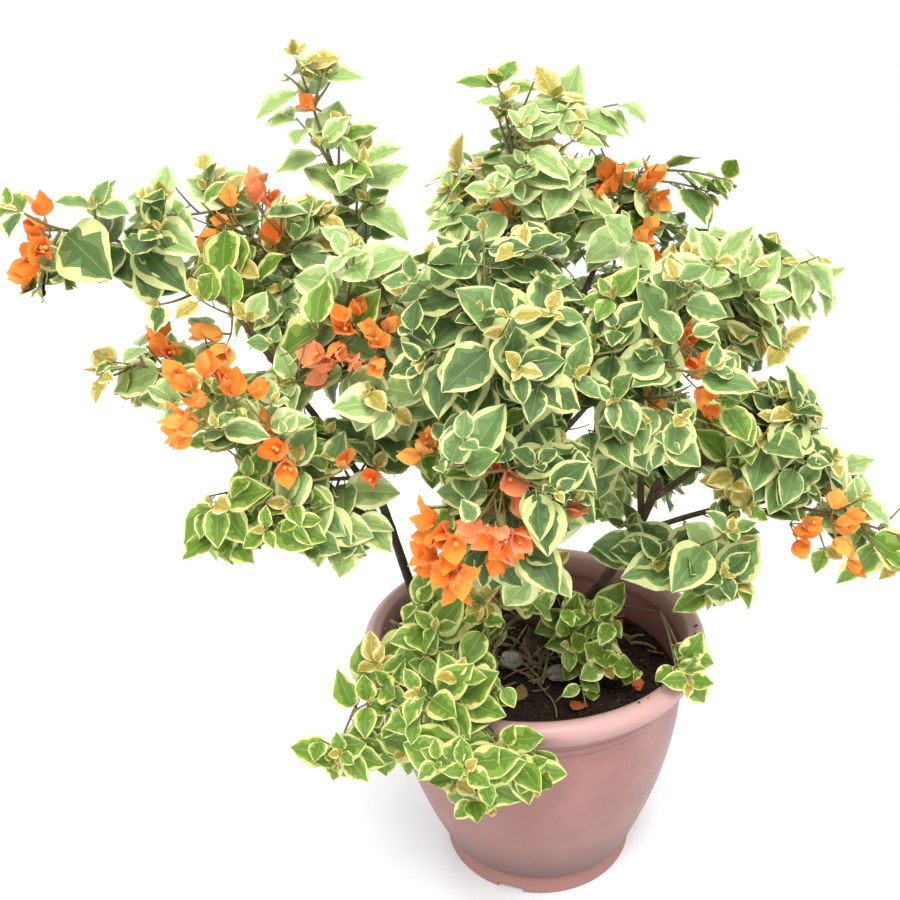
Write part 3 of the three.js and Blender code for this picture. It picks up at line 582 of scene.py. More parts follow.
# Outline of the foliage as the camera sees it, in the picture's pixels from its top left corner
CROWN_OUTLINE = (
    (-40, 195), (30, 203), (50, 222), (62, 198), (95, 176), (130, 190), (165, 176), (180, 162), (218, 160),
    (226, 182), (262, 178), (282, 196), (304, 190), (316, 150), (278, 134), (274, 108), (258, 92), (262, 66),
    (296, 34), (320, 38), (344, 66), (338, 108), (362, 120), (388, 156), (386, 182), (384, 200), (370, 232),
    (384, 252), (412, 230), (428, 204), (400, 192), (404, 174), (434, 172), (456, 152), (490, 156),
    (502, 118), (468, 98), (482, 78), (512, 62), (530, 70), (560, 80), (584, 92), (652, 92), (654, 116),
    (600, 142), (606, 160), (664, 164), (674, 196), (694, 220), (746, 232), (790, 256), (812, 252),
    (834, 256), (850, 296), (826, 320), (778, 322), (804, 346), (770, 374), (806, 388), (828, 404),
    (828, 444), (866, 460), (864, 486), (890, 498), (940, 505), (940, 590), (850, 580), (792, 572),
    (798, 540), (764, 524), (754, 552), (762, 584), (718, 610), (692, 592), (642, 602), (604, 560),
    (566, 556), (570, 606), (530, 626), (498, 600), (420, 606), (398, 570), (340, 570), (292, 548),
    (242, 566), (198, 566), (190, 512), (244, 478), (226, 458), (154, 432), (150, 404), (108, 408), (88, 352),
    (150, 338), (150, 306), (118, 302), (60, 292), (46, 316), (-40, 316),
)
LOW_OUTLINE = (
    (424, 588), (396, 612), (360, 656), (350, 690), (372, 706), (366, 728), (314, 736), (310, 764),
    (345, 786), (400, 796), (440, 800), (468, 822), (500, 810), (554, 802), (558, 744), (552, 706),
    (514, 702), (498, 680), (500, 640), (508, 612), (500, 590),
)
SPROUT_OUTLINE = (
    (548, 634), (574, 600), (628, 588), (650, 640), (644, 668), (616, 694), (588, 724), (556, 694),
)
RIM_SPROUT_OUTLINE = ((648, 664), (684, 644), (718, 690), (690, 708), (640, 698))
OUTLINES = (CROWN_OUTLINE, LOW_OUTLINE, SPROUT_OUTLINE, RIM_SPROUT_OUTLINE)

# Openings that show the sky or the soil through the foliage: middle and half sizes, in the picture's pixels
OPENINGS = (
    (412, 510, 17, 44), (444, 500, 9, 22), (488, 391, 14, 11), (581, 418, 22, 13), (621, 250, 12, 9),
    (685, 302, 9, 13), (621, 466, 14, 10), (692, 500, 16, 16), (648, 510, 16, 9), (206, 300, 20, 9),
    (240, 330, 12, 8), (296, 330, 10, 9), (330, 392, 12, 10), (590, 575, 26, 20), (526, 654, 28, 34),
    (652, 622, 32, 40), (384, 616, 16, 30), (600, 716, 40, 14), (742, 300, 9, 10), (300, 244, 9, 9),
    (196, 222, 13, 30), (57, 224, 8, 18), (668, 186, 14, 20), (578, 150, 10, 12), (480, 130, 12, 14),
    (110, 310, 30, 14), (288, 316, 14, 11), (444, 250, 8, 7), (262, 212, 10, 8), (348, 268, 8, 7),
    (396, 378, 10, 12),
)


@dataclass(frozen=True)
class SprigRow:
    """A sprig that stands out of its mass: it ends at a point of the picture, as deep as its own row says."""

    mass: str
    at: float
    tip: tuple[float, float]
    depth: float
    leaf: float
    kind: str
    pitch: float = 1.0


# The sprigs of each mass: share of its stem, end in pixels, depth, leaf, kind and, where wide, spacing
SPRIGS = tuple(SprigRow(mass, *row) for mass, rows in (
    ("top_centre_mass", ((0.62, (498, 84), 40, 44, "lime"), (0.72, (555, 98), 30, 44, "young"),
        (0.75, (618, 104), 60, 50, "light"), (0.35, (458, 172), 40, 42, "young"),
        (0.3, (536, 205), 0, 44, "young"))),
    ("top_right_mass", ((0.7, (708, 192), 60, 46, "middle"), (0.8, (726, 180), 55, 36, "lime"))),
    ("right_upper_mass", ((0.8, (822, 284), 30, 44, "light"), (0.7, (768, 252), 30, 42, "middle"),
        (0.5, (786, 344), -10, 34, "young"))),
    ("right_middle_mass", ((0.9, (792, 412), -50, 60, "deep", 1.6), (0.8, (836, 472), -20, 46, "light"),
        (0.35, (732, 484), -50, 38, "young"))),
    ("far_right_mass", ((0.75, (880, 550), -45, 54, "lime"), (0.6, (852, 516), -45, 48, "light"))),
    ("lower_right_mass", ((0.75, (736, 574), -60, 46, "lime"), (0.6, (706, 590), -60, 44, "lime"),
        (0.4, (660, 560), -70, 52, "deep"))),
    ("left_middle_mass", ((0.8, (104, 374), -62, 36, "young"),)),
    ("upper_left_mass", ((0.8, (204, 172), -10, 34, "young"), (0.6, (232, 262), -40, 38, "young"),
        (0.3, (320, 216), -20, 38, "young"))),
    ("far_left_mass", ((0.7, (94, 206), -95, 46, "middle", 2.5), (0.5, (164, 200), -85, 46, "light", 2.5),
        (0.55, (150, 232), -95, 46, "deep", 3.0), (0.95, (10, 208), -85, 34, "lime"),
        (0.9, (38, 290), -90, 38, "lime"))),
    ("lower_left_mass", ((0.9, (214, 538), -120, 42, "lime"), (0.6, (346, 548), -110, 46, "light"),
        (0.12, (376, 468), -90, 46, "middle"), (0.3, (364, 526), -100, 46, "light"),
        (0.1, (388, 436), -80, 46, "deep"), (0.25, (330, 470), -100, 44, "middle"))),
    ("top_left_shoot", ((0.25, (362, 162), 5, 50, "light"), (0.5, (296, 118), 10, 42, "light"),
        (0.75, (322, 76), 10, 42, "light"), (0.8, (284, 74), 10, 44, "light"),
        (0.45, (340, 124), 10, 36, "lime"), (0.1, (366, 202), 10, 38, "middle"))),
    ("centre_right_mass", ((0.85, (612, 298), -120, 36, "lime"), (0.6, (622, 424), -120, 36, "young"))),
    ("front_mass", ((0.25, (540, 572), -160, 66, "light", 3.0),)),
    ("low_front_mass", ((0.9, (474, 800), -200, 42, "lime"), (0.8, (538, 780), -190, 42, "lime"),
        (0.2, (478, 602), -130, 36, "young"))),
    ("low_left_mass", ((0.95, (336, 756), -150, 38, "lime"), (0.6, (376, 664), -120, 36, "young"),
        (0.8, (368, 704), -140, 38, "lime"), (0.7, (388, 684), -135, 40, "lime"))),
    ("pot_sprout", ((0.4, (612, 622), -45, 42, "lime"), (0.2, (588, 610), -35, 40, "lime"),
        (0.3, (570, 648), -60, 42, "lime"), (0.5, (606, 664), -65, 42, "lime"),
        (0.1, (640, 672), -70, 26, "lime"), (0.1, (586, 706), -100, 26, "lime"))),
    ("rim_sprout", ((0.6, (690, 682), -124, 36, "lime"), (0.6, (676, 668), -112, 32, "lime"))),
    ("top_left_shoot", ((0.95, (300, 72), 10, 34, "young"),)),
    ("right_middle_mass", ((0.6, (762, 440), -60, 54, "middle", 1.6),)),
    ("top_centre_mass", ((0.5, (574, 140), 10, 46, "light", 1.6),)),
    ("right_upper_mass", ((0.4, (716, 262), -50, 52, "light", 1.6),
        (0.6, (756, 300), -50, 50, "light", 1.6))),
    ("top_right_mass", ((0.3, (636, 244), -40, 50, "light", 1.6),)),
    ("right_middle_mass", ((0.3, (716, 400), -80, 46, "lime", 1.6),)),
) for row in rows)


# Small tools

def unit(vector: Array) -> Array:
    """The vector at length one."""
    return vector / math.sqrt(float(vector @ vector))


def cross(a: Array, b: Array) -> Array:
    """The vector product of two single vectors."""
    return np.array((a[1] * b[2] - a[2] * b[1], a[2] * b[0] - a[0] * b[2], a[0] * b[1] - a[1] * b[0]))


def lerp(a: float, b: float, share: float) -> float:
    """The value at a share of the way from a to b."""
    return a + (b - a) * share


def spun(radius: float, turn: float) -> tuple[float, float]:
    """The X and Y at a radius and a turn."""
    return radius * math.cos(turn), radius * math.sin(turn)


def seeded(seed: int) -> Draw:
    """A repeatable stream of numbers from 0 to 1, the same as in the frame's source.

    Args:
        seed: Any whole number.

    Returns:
        A function that gives the next number.
    """
    word = 0xFFFFFFFF
    state = [seed & word]

    def draw() -> float:
        """The next number."""
        state[0] = (state[0] + 0x6D2B79F5) & word
        mixed = state[0]
        mixed = ((mixed ^ (mixed >> 15)) * (mixed | 1)) & word
        mixed ^= (mixed + ((mixed ^ (mixed >> 7)) * (mixed | 61) & word)) & word
        return ((mixed ^ (mixed >> 14)) & word) / 4294967296

    return draw


class Run:
    """A run of straight pieces between points. Across is level and square to the way from start to end."""

    def __init__(self, points: Array) -> None:
        """Keeps the points.

        Args:
            points: One row for each point.
        """
        self.points = points
        level = cross(points[-1] - points[0], UP)
        self.across = unit(level) if float(level @ level) > 1 else np.array((1.0, 0.0, 0.0))

    def point(self, share: float) -> Array:
        """The point at a share of the run."""
        pieces = len(self.points) - 1
        place = min(max(share, 0.0), 1.0) * pieces
        piece = min(int(place), pieces - 1)
        return self.points[piece] + (self.points[piece + 1] - self.points[piece]) * (place - piece)

    def frame(self, share: float) -> "Frame":
        """The point at a share of the run, with its direction and two more square to it."""
        step = 1e-4
        along = unit(self.point(min(share + step, 1.0)) - self.point(max(share - step, 0.0)))
        side = unit(self.across - along * float(self.across @ along))
        return Frame(self.point(share), along, side, cross(side, along))


@dataclass(frozen=True)
class Frame:
    """A point of a run with its direction and two directions square to it."""

    point: Array
    along: Array
    side: Array
    over: Array

    def leaning(self, turn: float, lean: float) -> Array:
        """A direction that stands away from the run by a lean, at a turn round it."""
        radial = self.side * math.cos(turn) + self.over * math.sin(turn)
        return self.along * math.cos(lean) + radial * math.sin(lean)

    def around(self, turn: float, radius: float) -> Array:
        """A point round the run, at a turn and a radius."""
        return self.point + radius * (math.cos(turn) * self.side + math.sin(turn) * self.over)


def bowed(start: Array, end: Array, bow: Sequence[float], steps: int) -> Run:
    """A run from start to end whose middle is pushed aside.

    Args:
        start: First point.
        end: Last point.
        bow: How far the middle of its guide is pushed.
        steps: How many straight pieces it has.

    Returns:
        The run.
    """
    middle = (start + end) / 2 + np.asarray(bow, dtype=float)
    share = np.linspace(0.0, 1.0, steps + 1)[:, None]
    return Run((1 - share) ** 2 * start + 2 * share * (1 - share) * middle + share ** 2 * end)


@dataclass(frozen=True)
class PictureView:
    """The picture's camera: its place, how it is turned, and its focal length in the picture's pixels."""

    place: tuple[float, float, float] = (-70.0, -812.0, 758.0)
    pitch: float = math.radians(21.7)
    roll: float = math.radians(-3.3)
    focal: float = 967.0
    width: float = 900.0

    def axes(self) -> tuple[Array, Array, Array]:
        """The camera's right, up and forward directions."""
        forward = np.array((0.0, math.cos(self.pitch), -math.sin(self.pitch)))
        level_up = np.array((0.0, math.sin(self.pitch), math.cos(self.pitch)))
        level_right = np.array((1.0, 0.0, 0.0))
        right = level_right * math.cos(self.roll) + level_up * math.sin(self.roll)
        up = level_up * math.cos(self.roll) - level_right * math.sin(self.roll)
        return right, up, forward

    def project(self, points: Array) -> Array:
        """Where points are in the picture.

        Args:
            points: One row for each point, in millimetres.

        Returns:
            One row of two pixels for each point.
        """
        right, up, forward = self.axes()
        away = points - np.array(self.place)
        depth = away @ forward
        half = self.width / 2
        across, above = self.focal * (away @ right) / depth, self.focal * (away @ up) / depth
        return np.stack((half + across, half - above), axis=1)

    def depth(self, points: Array) -> Array:
        """How far in front of the camera points are."""
        return (points - np.array(self.place)) @ self.axes()[2]

    def at_depth(self, pixel: tuple[float, float], y: float) -> Array:
        """The point behind a pixel of the picture at a given Y, in millimetres."""
        right, up, forward = self.axes()
        half = self.width / 2
        ray = forward + right * (pixel[0] - half) / self.focal - up * (pixel[1] - half) / self.focal
        return np.array(self.place) + ray * (y - self.place[1]) / ray[1]


def inside(points: Array, outline: Array) -> Array:
    """Which points lie inside a closed outline, by the even-odd rule.

    Args:
        points: One row of two numbers for each point.
        outline: One row for each corner.

    Returns:
        One truth value for each point.
    """
    a = outline[None]
    b = np.roll(outline, -1, axis=0)[None]
    x, y = points[:, 0][:, None], points[:, 1][:, None]
    spans = (a[..., 1] > y) != (b[..., 1] > y)
    rise = np.where(b[..., 1] == a[..., 1], 1.0, b[..., 1] - a[..., 1])
    crosses = spans & (x < (b[..., 0] - a[..., 0]) * (y - a[..., 1]) / rise + a[..., 0])
    return crosses.sum(axis=1) % 2 == 1


VIEW = PictureView()


class MeshPile:
    """Collects many small shapes, in millimetres, and joins them into one object, in metres."""

    def __init__(self, name: str) -> None:
        """Starts an empty pile under the name of its object."""
        self.name = name
        self.points: list[Array] = []
        self.faces: list[list[int]] = []
        self.count = 0

    def add(self, points: Array, faces: Sequence[Sequence[int]]) -> None:
        """Adds a shape.

        Args:
            points: One row for each corner.
            faces: The corners of each face, counted from 0.
        """
        base = self.count
        self.points.append(points)
        self.faces.extend([corner + base for corner in face] for face in faces)
        self.count += len(points)

    def add_grid(self, grid: Array) -> None:
        """Adds a sheet of quads between rows and columns of points."""
        rows, columns = grid.shape[:2]
        self.add(grid.reshape(-1, 3), grid_faces(rows, columns))

    def add_tube(self, run: Run, radii: Sequence[float], sides: int) -> None:
        """Adds a closed tube along a run.

        Args:
            run: The tube's middle line.
            radii: One radius for each point of the run.
            sides: How many sides it has.
        """
        rings = []
        last = len(run.points) - 1
        turns = [math.tau * side / sides for side in range(sides)]
        for index, radius in enumerate(radii):
            here = run.frame(index / last)
            rings.extend(here.around(t, radius) for t in turns)
        self.add(np.array(rings), tube_faces(last + 1, sides))

    @property
    def triangles(self) -> int:
        """How many triangles the pile holds."""
        return sum(len(face) - 2 for face in self.faces)

    def build(self, material: Material, slot: str) -> Piece:
        """Makes the object.

        Args:
            material: Its finish.
            slot: A material slot's name, passed on to placed.

        Returns:
            The object, which rides on the plant's body.
        """
        mesh = bpy.data.meshes.new(self.name)
        points = np.concatenate(self.points) * MM
        mesh.from_pydata(points.tolist(), [], self.faces)
        mesh.shade_smooth()
        return placed(mesh, material, slot, self.triangles)


def show(thing: Piece) -> None:
    """Links a thing to the scene."""
    bpy.context.scene.collection.objects.link(thing)


def placed(mesh: bpy.types.Mesh, material: Material, slot: str, triangles: int) -> Piece:
    """Puts a mesh in the scene as a piece of the plant.

    Args:
        mesh: The mesh, in metres.
        material: Its finish.
        slot: Not used.
        triangles: How many triangles it has, for the log.

    Returns:
        The object.
    """
    mesh.materials.append(material)
    piece = bpy.data.objects.new(mesh.name, mesh)
    show(piece)
    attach(piece, BODY)
    log.info("%s: %d triangles, %s", piece.name, triangles, material.name)
    return piece


def grid_faces(rows: int, columns: int) -> list[list[int]]:
    """The quads of a sheet of points, row by row."""
    return [
        [row * columns + column, row * columns + column + 1,
         (row + 1) * columns + column + 1, (row + 1) * columns + column]
        for row in range(rows - 1) for column in range(columns - 1)
    ]


def ring_faces(rings: int, sides: int, first: int = 0) -> list[list[int]]:
    """The quads between closed rings of points.

    Args:
        rings: How many rings there are.
        sides: How many points each has.
        first: The number of the first point.

    Returns:
        The four corners of each quad.
    """
    faces = []
    for ring in range(rings - 1):
        here = first + ring * sides
        there = here + sides
        for side in range(sides):
            following = (side + 1) % sides
            faces.append([here + side, there + side, there + following, here + following])
    return faces


def tube_faces(rings: int, sides: int) -> list[list[int]]:
    """The quads and the two end faces of a tube."""
    ends = [list(range(sides)), [(rings - 1) * sides + side for side in reversed(range(sides))]]
    return ring_faces(rings, sides) + ends


# Finishes

def linear(colour: str) -> tuple[float, float, float, float]:
    """The linear colour of an sRGB hex value."""
    values = [int(colour[place:place + 2], 16) / 255 for place in (1, 3, 5)]
    spread = [value / 12.92 if value <= 0.04045 else ((value + 0.055) / 1.055) ** 2.4 for value in values]
    return (spread[0], spread[1], spread[2], 1.0)


def add_node(tree: Tree, kind: str, values: Optional[dict] = None, links: Optional[dict] = None,
             **settings: object) -> bpy.types.Node:
    """Adds a node with its values, its links and its settings.

    Args:
        tree: The material's tree.
        kind: The node's type, without the words that every shader node's type starts with.
        values: Values of its inputs, by name or number.
        links: What feeds its inputs, by name or number: a socket, or a node for its first output.
        settings: The node's own properties.

    Returns:
        The node.
    """
    made = tree.nodes.new("ShaderNode" + kind)
    for name, value in settings.items():
        setattr(made, name, value)
    for name, value in (values or {}).items():
        made.inputs[name].default_value = value
    for name, source in (links or {}).items():
        tree.links.new(source.outputs[0] if isinstance(source, bpy.types.Node) else source, made.inputs[name])
    return made


def set_stops(ramp: bpy.types.ColorRamp, stops: Sequence[tuple[float, str]]) -> None:
    """Gives a colour ramp its stops.

    Args:
        ramp: The ramp, with two stops.
        stops: The place of each stop, rising, and its sRGB colour.
    """
    for _ in stops[2:]:
        ramp.elements.new(0.5)
    for element, (place, colour) in zip(ramp.elements, stops):
        element.position = place
        element.color = linear(colour)


@dataclass(frozen=True)
class Finish:
    """What every finish has: one noise makes its relief and, where it has stops, its colour too.

    Grain is the size of the relief and relief its height, in millimetres.
    """

    name: str
    colour: str
    roughness: float
    ior: float
    grain: float
    relief: float
    rough_spread: float = 0.08
    detail: float = 4.0
    harshness: float = 0.5

    def stops(self) -> tuple[tuple[float, str], ...]:
        """Places and colours on the noise, or none for the plain colour."""
        return ()

    def start(self) -> tuple[Material, Tree, Socket, bpy.types.Node]:
        """A new material, its tree, the place of each shaded point and the noise of its grain."""
        material = bpy.data.materials.new(self.name)
        material.use_nodes = True
        tree = material.node_tree
        tree.nodes.clear()
        place = add_node(tree, "TexCoord").outputs["Object"]
        grain = {"Scale": 1 / (self.grain * MM), "Detail": self.detail, "Roughness": self.harshness}
        return material, tree, place, add_node(tree, "TexNoise", grain, {"Vector": place})

    def shade(self, tree: Tree, height: bpy.types.Node, colour: Optional[Socket] = None,
              **extra: float) -> None:
        """Ends a material: relief and uneven gloss from a height, and its colour.

        Args:
            tree: The material's tree.
            height: Gives the relief, about 0 to 1.
            colour: A colour that varies, or None for the plain one.
            extra: More values of the shader's own inputs.
        """
        bump = add_node(tree, "Bump", {"Strength": 1.0, "Distance": self.relief * MM}, {"Height": height})
        low, high = self.roughness - self.rough_spread, self.roughness + self.rough_spread
        gloss = add_node(tree, "MapRange", {"To Min": low, "To Max": high}, {"Value": height})
        values = {"Base Color": linear(self.colour), "IOR": self.ior, **extra}
        links = {"Normal": bump, "Roughness": gloss}
        if colour is not None:
            links["Base Color"] = colour
        add_node(tree, "OutputMaterial", None, {"Surface": add_node(tree, "BsdfPrincipled", values, links)})

    def material(self) -> Material:
        """Builds the finish."""
        material, tree, _, grain = self.start()
        colour = None
        if self.stops():
            tone = add_node(tree, "ValToRGB", None, {"Fac": grain})
            set_stops(tone.color_ramp, self.stops())
            colour = tone.outputs["Color"]
        self.shade(tree, grain, colour)
        return material


@dataclass(frozen=True)
class LeafFinish(Finish):
    """A living leaf: a waxy skin over soft cells, so it is satin, with a fine grain between its veins.

    The colour is plain, because each kind of leaf and each zone of it is a piece of its own. A real leaf
    puckers between side veins 4 mm apart. It is drawn coarser, because a leaf is only 50 pixels long in the
    picture.
    """

    roughness: float = 0.5
    ior: float = 1.4
    grain: float = 6.5
    relief: float = 1.1
    detail: float = 3.0
    harshness: float = 0.45


@dataclass(frozen=True)
class TwigFinish(Finish):
    """Green wood: a smooth thin rind with a soft gloss. Its colour is plain, because there are so many.

    The real rind is streaked 0.5 mm wide. It is drawn at 1 mm, which is about a pixel of the picture.
    """

    roughness: float = 0.6
    ior: float = 1.45
    grain: float = 1.0
    relief: float = 0.2


@dataclass(frozen=True)
class EarthFinish(Finish):
    """Peat and bark compost: dull crumbs, near black to rust brown, 1 to 4 mm wide as on the real soil."""

    roughness: float = 0.95
    ior: float = 1.5
    grain: float = 2.2
    relief: float = 1.6
    rough_spread: float = 0.04
    detail: float = 6.0
    harshness: float = 0.7
    rust: str = "#604128"
    black: str = "#1c130b"

    def stops(self) -> tuple[tuple[float, str], ...]:
        """Black in the gaps, rust on the crests."""
        return ((0.34, self.black), (0.52, self.colour), (0.72, self.rust))


@dataclass(frozen=True)
class PebbleFinish(Finish):
    """Limestone: chalky and pale, pitted, with grey specks.

    The real pits are 1 mm wide. They are drawn coarser, because a stone is 30 pixels wide in the picture.
    """

    roughness: float = 0.88
    ior: float = 1.55
    grain: float = 2.4
    relief: float = 0.3
    detail: float = 6.0
    harshness: float = 0.65
    speck: str = "#8d8c80"

    def stops(self) -> tuple[tuple[float, str], ...]:
        """Grey in the pits."""
        return ((0.36, self.speck), (0.56, self.colour))


@dataclass(frozen=True)
class BractFinish(Finish):
    """A papery bract: dry and thin, so it is matt and crinkled, with a raised net of veins.

    The real net has cells of 2 mm. It is drawn twice as coarse, so that it shows at the picture's size. Its
    grain is the slow bend of the paper between the cells.
    """

    roughness: float = 0.62
    ior: float = 1.4
    grain: float = 7.6
    relief: float = 0.35
    detail: float = 2.0
    cell: float = 3.8
    sheen: float = 0.15

    def material(self) -> Material:
        """Builds the finish."""
        material, tree, place, bend = self.start()
        net = add_node(tree, "TexVoronoi", {"Scale": 1 / (self.cell * MM)}, {"Vector": place},
                       feature="DISTANCE_TO_EDGE")
        both = add_node(tree, "Math", None, {0: bend, 1: net}, operation="ADD", use_clamp=True)
        self.shade(tree, both, **{"Sheen Weight": self.sheen})
        return material


@dataclass(frozen=True)
class BarkFinish(Finish):
    """Young bark: grey-brown, dull, with fine ridges along the stem and paler weathered patches.

    The real ridges are 0.6 mm wide. They are drawn twice as coarse, and four times as long as they are wide.
    """

    roughness: float = 0.84
    ior: float = 1.5
    grain: float = 1.3
    relief: float = 0.5
    detail: float = 5.0
    harshness: float = 0.62
    ridge_squeeze: float = 0.22
    patch: float = 18.2
    dark: str = "#3c2c20"
    pale: str = "#9b8870"

    def material(self) -> Material:
        """Builds the finish."""
        material, tree, place, ridges = self.start()
        stretch = add_node(tree, "Mapping", {"Scale": (1.0, 1.0, self.ridge_squeeze)}, {"Vector": place})
        tree.links.new(stretch.outputs["Vector"], ridges.inputs["Vector"])
        tone = add_node(tree, "ValToRGB", None, {"Fac": ridges})
        set_stops(tone.color_ramp, ((0.32, self.dark), (0.7, self.colour)))
        patches = add_node(tree, "TexNoise", {"Scale": 1 / (self.patch * MM), "Detail": 2.0},
                           {"Vector": place})
        ease = add_node(tree, "MapRange", {"From Min": 0.5, "From Max": 0.72, "To Max": 0.55},
                        {"Value": patches})
        weathered = add_node(tree, "Mix", {MIX_SECOND: linear(self.pale)}, {MIX_SHARE: ease, MIX_FIRST: tone},
                             data_type="RGBA")
        self.shade(tree, ridges, weathered.outputs[MIX_RESULT])
        return material


@dataclass(frozen=True)
class Tone:
    """A tone on the pot's height, in millimetres: where it starts, where it is fullest, and its share there.

    With a crease, a height on the outside, the other two are counted from that crease, up and down.
    """

    colour: str
    start: float
    full: float
    share: float
    crease: float = 0.0


@dataclass(frozen=True)
class MouldedFinish(Finish):
    """Injection-moulded polypropylene: a satin skin, faint flow marks, scuffs and a film of dust.

    The lip is paler, a painted highlight. Painted shade darkens the body towards the bottom, most just above
    the foot's crease, and the foot is kept lighter than that shade. Painted shade also sits in the creases
    under the lip.
    The skin's grain is 1 mm, as on the real pot. Flow marks are 9 mm wide and clouds of dust 46 mm.
    """

    roughness: float = 0.4
    ior: float = 1.49
    grain: float = 1.1
    relief: float = 0.045
    flow_width: float = 9.0
    flow_squeeze: float = 0.08
    cloud_width: float = 46.0
    dust: str = "#c5938a"
    worn: str = "#a8716a"
    tones: tuple[Tone, ...] = (
        # painted highlight: the lip paler
        Tone("#d9aea8", POT.lip_bottom - 3, POT.height - 3, 0.8),
        # painted shade: the body darker towards the bottom
        Tone("#825b53", 200, 30, 0.62),
        # painted shade: darkest just above the foot's crease
        Tone("#5b3a33", 82, POT.body_bottom - 2, 0.9),
        # the foot kept lighter than the painted shade above it
        Tone("#a4746c", POT.body_bottom, POT.foot_height - 1, 0.9),
        # painted shade in the creases under the lip and in the ring's steps
        Tone("#5b3a33", 4.5, 0, 0.75, POT.lip_bottom - 1.5),
        Tone("#5b3a33", 2.2, 0, 0.75, POT.ring_bottom + 9),
        Tone("#5b3a33", 2.8, 0, 0.75, POT.ring_bottom + 0.5),
    )

    def material(self) -> Material:
        """Builds the finish."""
        material, tree, place, grain = self.start()
        cloudy = {"Scale": 1 / (self.cloud_width * MM), "Detail": 5.0, "Roughness": 0.6}
        clouds = add_node(tree, "TexNoise", cloudy, {"Vector": place})
        streaks = add_node(tree, "Mapping", {"Scale": (1.0, 1.0, self.flow_squeeze)}, {"Vector": place})
        flow = add_node(tree, "TexNoise", {"Scale": 1 / (self.flow_width * MM), "Detail": 3.0},
                        {"Vector": streaks})
        film = add_node(tree, "MapRange", {"From Min": 0.42, "From Max": 0.75, "To Max": 0.35},
                        {"Value": clouds})
        rub = add_node(tree, "MapRange", {"From Min": 0.5, "From Max": 0.8, "To Max": 0.45}, {"Value": flow})
        dusted = add_node(tree, "Mix", {MIX_FIRST: linear(self.colour), MIX_SECOND: linear(self.dust)},
                          {MIX_SHARE: film}, data_type="RGBA")
        rubbed = add_node(tree, "Mix", {MIX_SECOND: linear(self.worn)},
                          {MIX_SHARE: rub, MIX_FIRST: dusted.outputs[MIX_RESULT]}, data_type="RGBA")
        colour = rubbed.outputs[MIX_RESULT]
        for tone in self.tones:
            colour = self.toned(tree, place, colour, tone)
        self.shade(tree, grain, colour)
        return material

    @staticmethod
    def toned(tree: Tree, place: Socket, colour: Socket, tone: Tone) -> Socket:
        """Mixes a tone into a colour between two heights, or near the height of a crease; the tones paint the
        pot's highlight and shade.

        Args:
            tree: The material's tree.
            place: The place of each shaded point.
            colour: The colour before.
            tone: The tone.

        Returns:
            The new colour.
        """
        height = add_node(tree, "SeparateXYZ", None, {"Vector": place}).outputs["Z"]
        reach = {"From Min": tone.start * MM, "From Max": tone.full * MM}
        if tone.crease:
            below = add_node(tree, "Math", {1: tone.crease * MM}, {0: height}, operation="SUBTRACT")
            away = add_node(tree, "Math", None, {0: below}, operation="ABSOLUTE")
            near = add_node(tree, "MapRange", reach, {"Value": away})
            level = add_node(tree, "Mapping", {"Scale": (1.0, 1.0, 0.0)}, {"Vector": place})
            around = add_node(tree, "VectorMath", None, {0: level}, operation="LENGTH").outputs["Value"]
            wall = {"From Min": (POT.shoulder_radius - 2) * MM, "From Max": (POT.shoulder_radius + 0.5) * MM}
            outer = add_node(tree, "MapRange", {**wall, "To Max": tone.share}, {"Value": around})
            painted_light_share = add_node(tree, "Math", None, {0: outer, 1: near}, operation="MULTIPLY")
        else:
            painted_light_share = add_node(tree, "MapRange", {**reach, "To Max": tone.share}, {"Value": height})
        mixed = add_node(tree, "Mix", {MIX_SECOND: linear(tone.colour)},
                         {MIX_SHARE: painted_light_share, MIX_FIRST: colour}, data_type="RGBA")
        return mixed.outputs[MIX_RESULT]


class Kind(Enum):
    """The kinds of leaf, dealt out by spray."""

    DEEP = "deep"
    MIDDLE = "middle"
    LIGHT = "light"
    LIME = "lime"
    YOUNG = "young"


class Zone(Enum):
    """The zones of a leaf, from its midrib to its edge."""

    HEART = "heart"
    SAGE = "sage"
    EDGE = "edge"


# The zones that a leaf shows from one side to the other: the sage rib runs between its two dark halves
ZONES_ACROSS = (Zone.EDGE, Zone.SAGE, Zone.HEART, Zone.SAGE, Zone.HEART, Zone.SAGE, Zone.EDGE)
# Deep, middle and light are darker and paler copies of one colouring. Dealt out by place, they are painted
# shade in the crown's centre and painted light at its top.
LEAF_COLOURS = {
    Kind.DEEP: {Zone.HEART: "#4a642e", Zone.SAGE: "#5f7c3f", Zone.EDGE: "#cfd389"},
    Kind.MIDDLE: {Zone.HEART: "#668345", Zone.SAGE: "#7c9956", Zone.EDGE: "#d8db93"},
    Kind.LIGHT: {Zone.HEART: "#90ab61", Zone.SAGE: "#aac478", Zone.EDGE: "#e6e8a8"},
    Kind.LIME: {Zone.HEART: "#64842b", Zone.SAGE: "#82a23f", Zone.EDGE: "#e0df8c"},
    Kind.YOUNG: {Zone.HEART: "#a3983e", Zone.SAGE: "#ccb162", Zone.EDGE: "#eadd98"},
}
BRACT_COLOURS = {"amber": "#fcab4c", "orange": "#fb9836", "coral": "#fea46c"}
# The chances of each colour: first for groups that opened lately, then for the faded ones low at the front
BRACT_CHANCES = ((0.3, 0.66, 0.04), (0.38, 0.22, 0.4))


# The bush

@dataclass(frozen=True)
class Limb:
    """A grown limb: its row, its run and the radius at each share of it."""

    row: LimbRow
    run: Run
    radius: Callable[[float], float]


@dataclass(frozen=True)
class Shoot:
    """A side shoot before it is tried: where it leaves the stem, its turn, length and lift."""

    at: float
    turn: float
    length: float
    lift: float
    seed: int


@dataclass(frozen=True)
class Node:
    """A place for a leaf on a run."""

    run: Run
    at: float
    wobble: Array
    last: bool
    turn: float
    length: float


@dataclass(frozen=True)
class LeafPlace:
    """Where a leaf starts, which way it points and faces, and its length."""

    point: Array
    along: Array
    face: Array
    length: float

    def at(self, share: float) -> Array:
        """The point at a share of its length."""
        return self.point + self.along * self.length * share


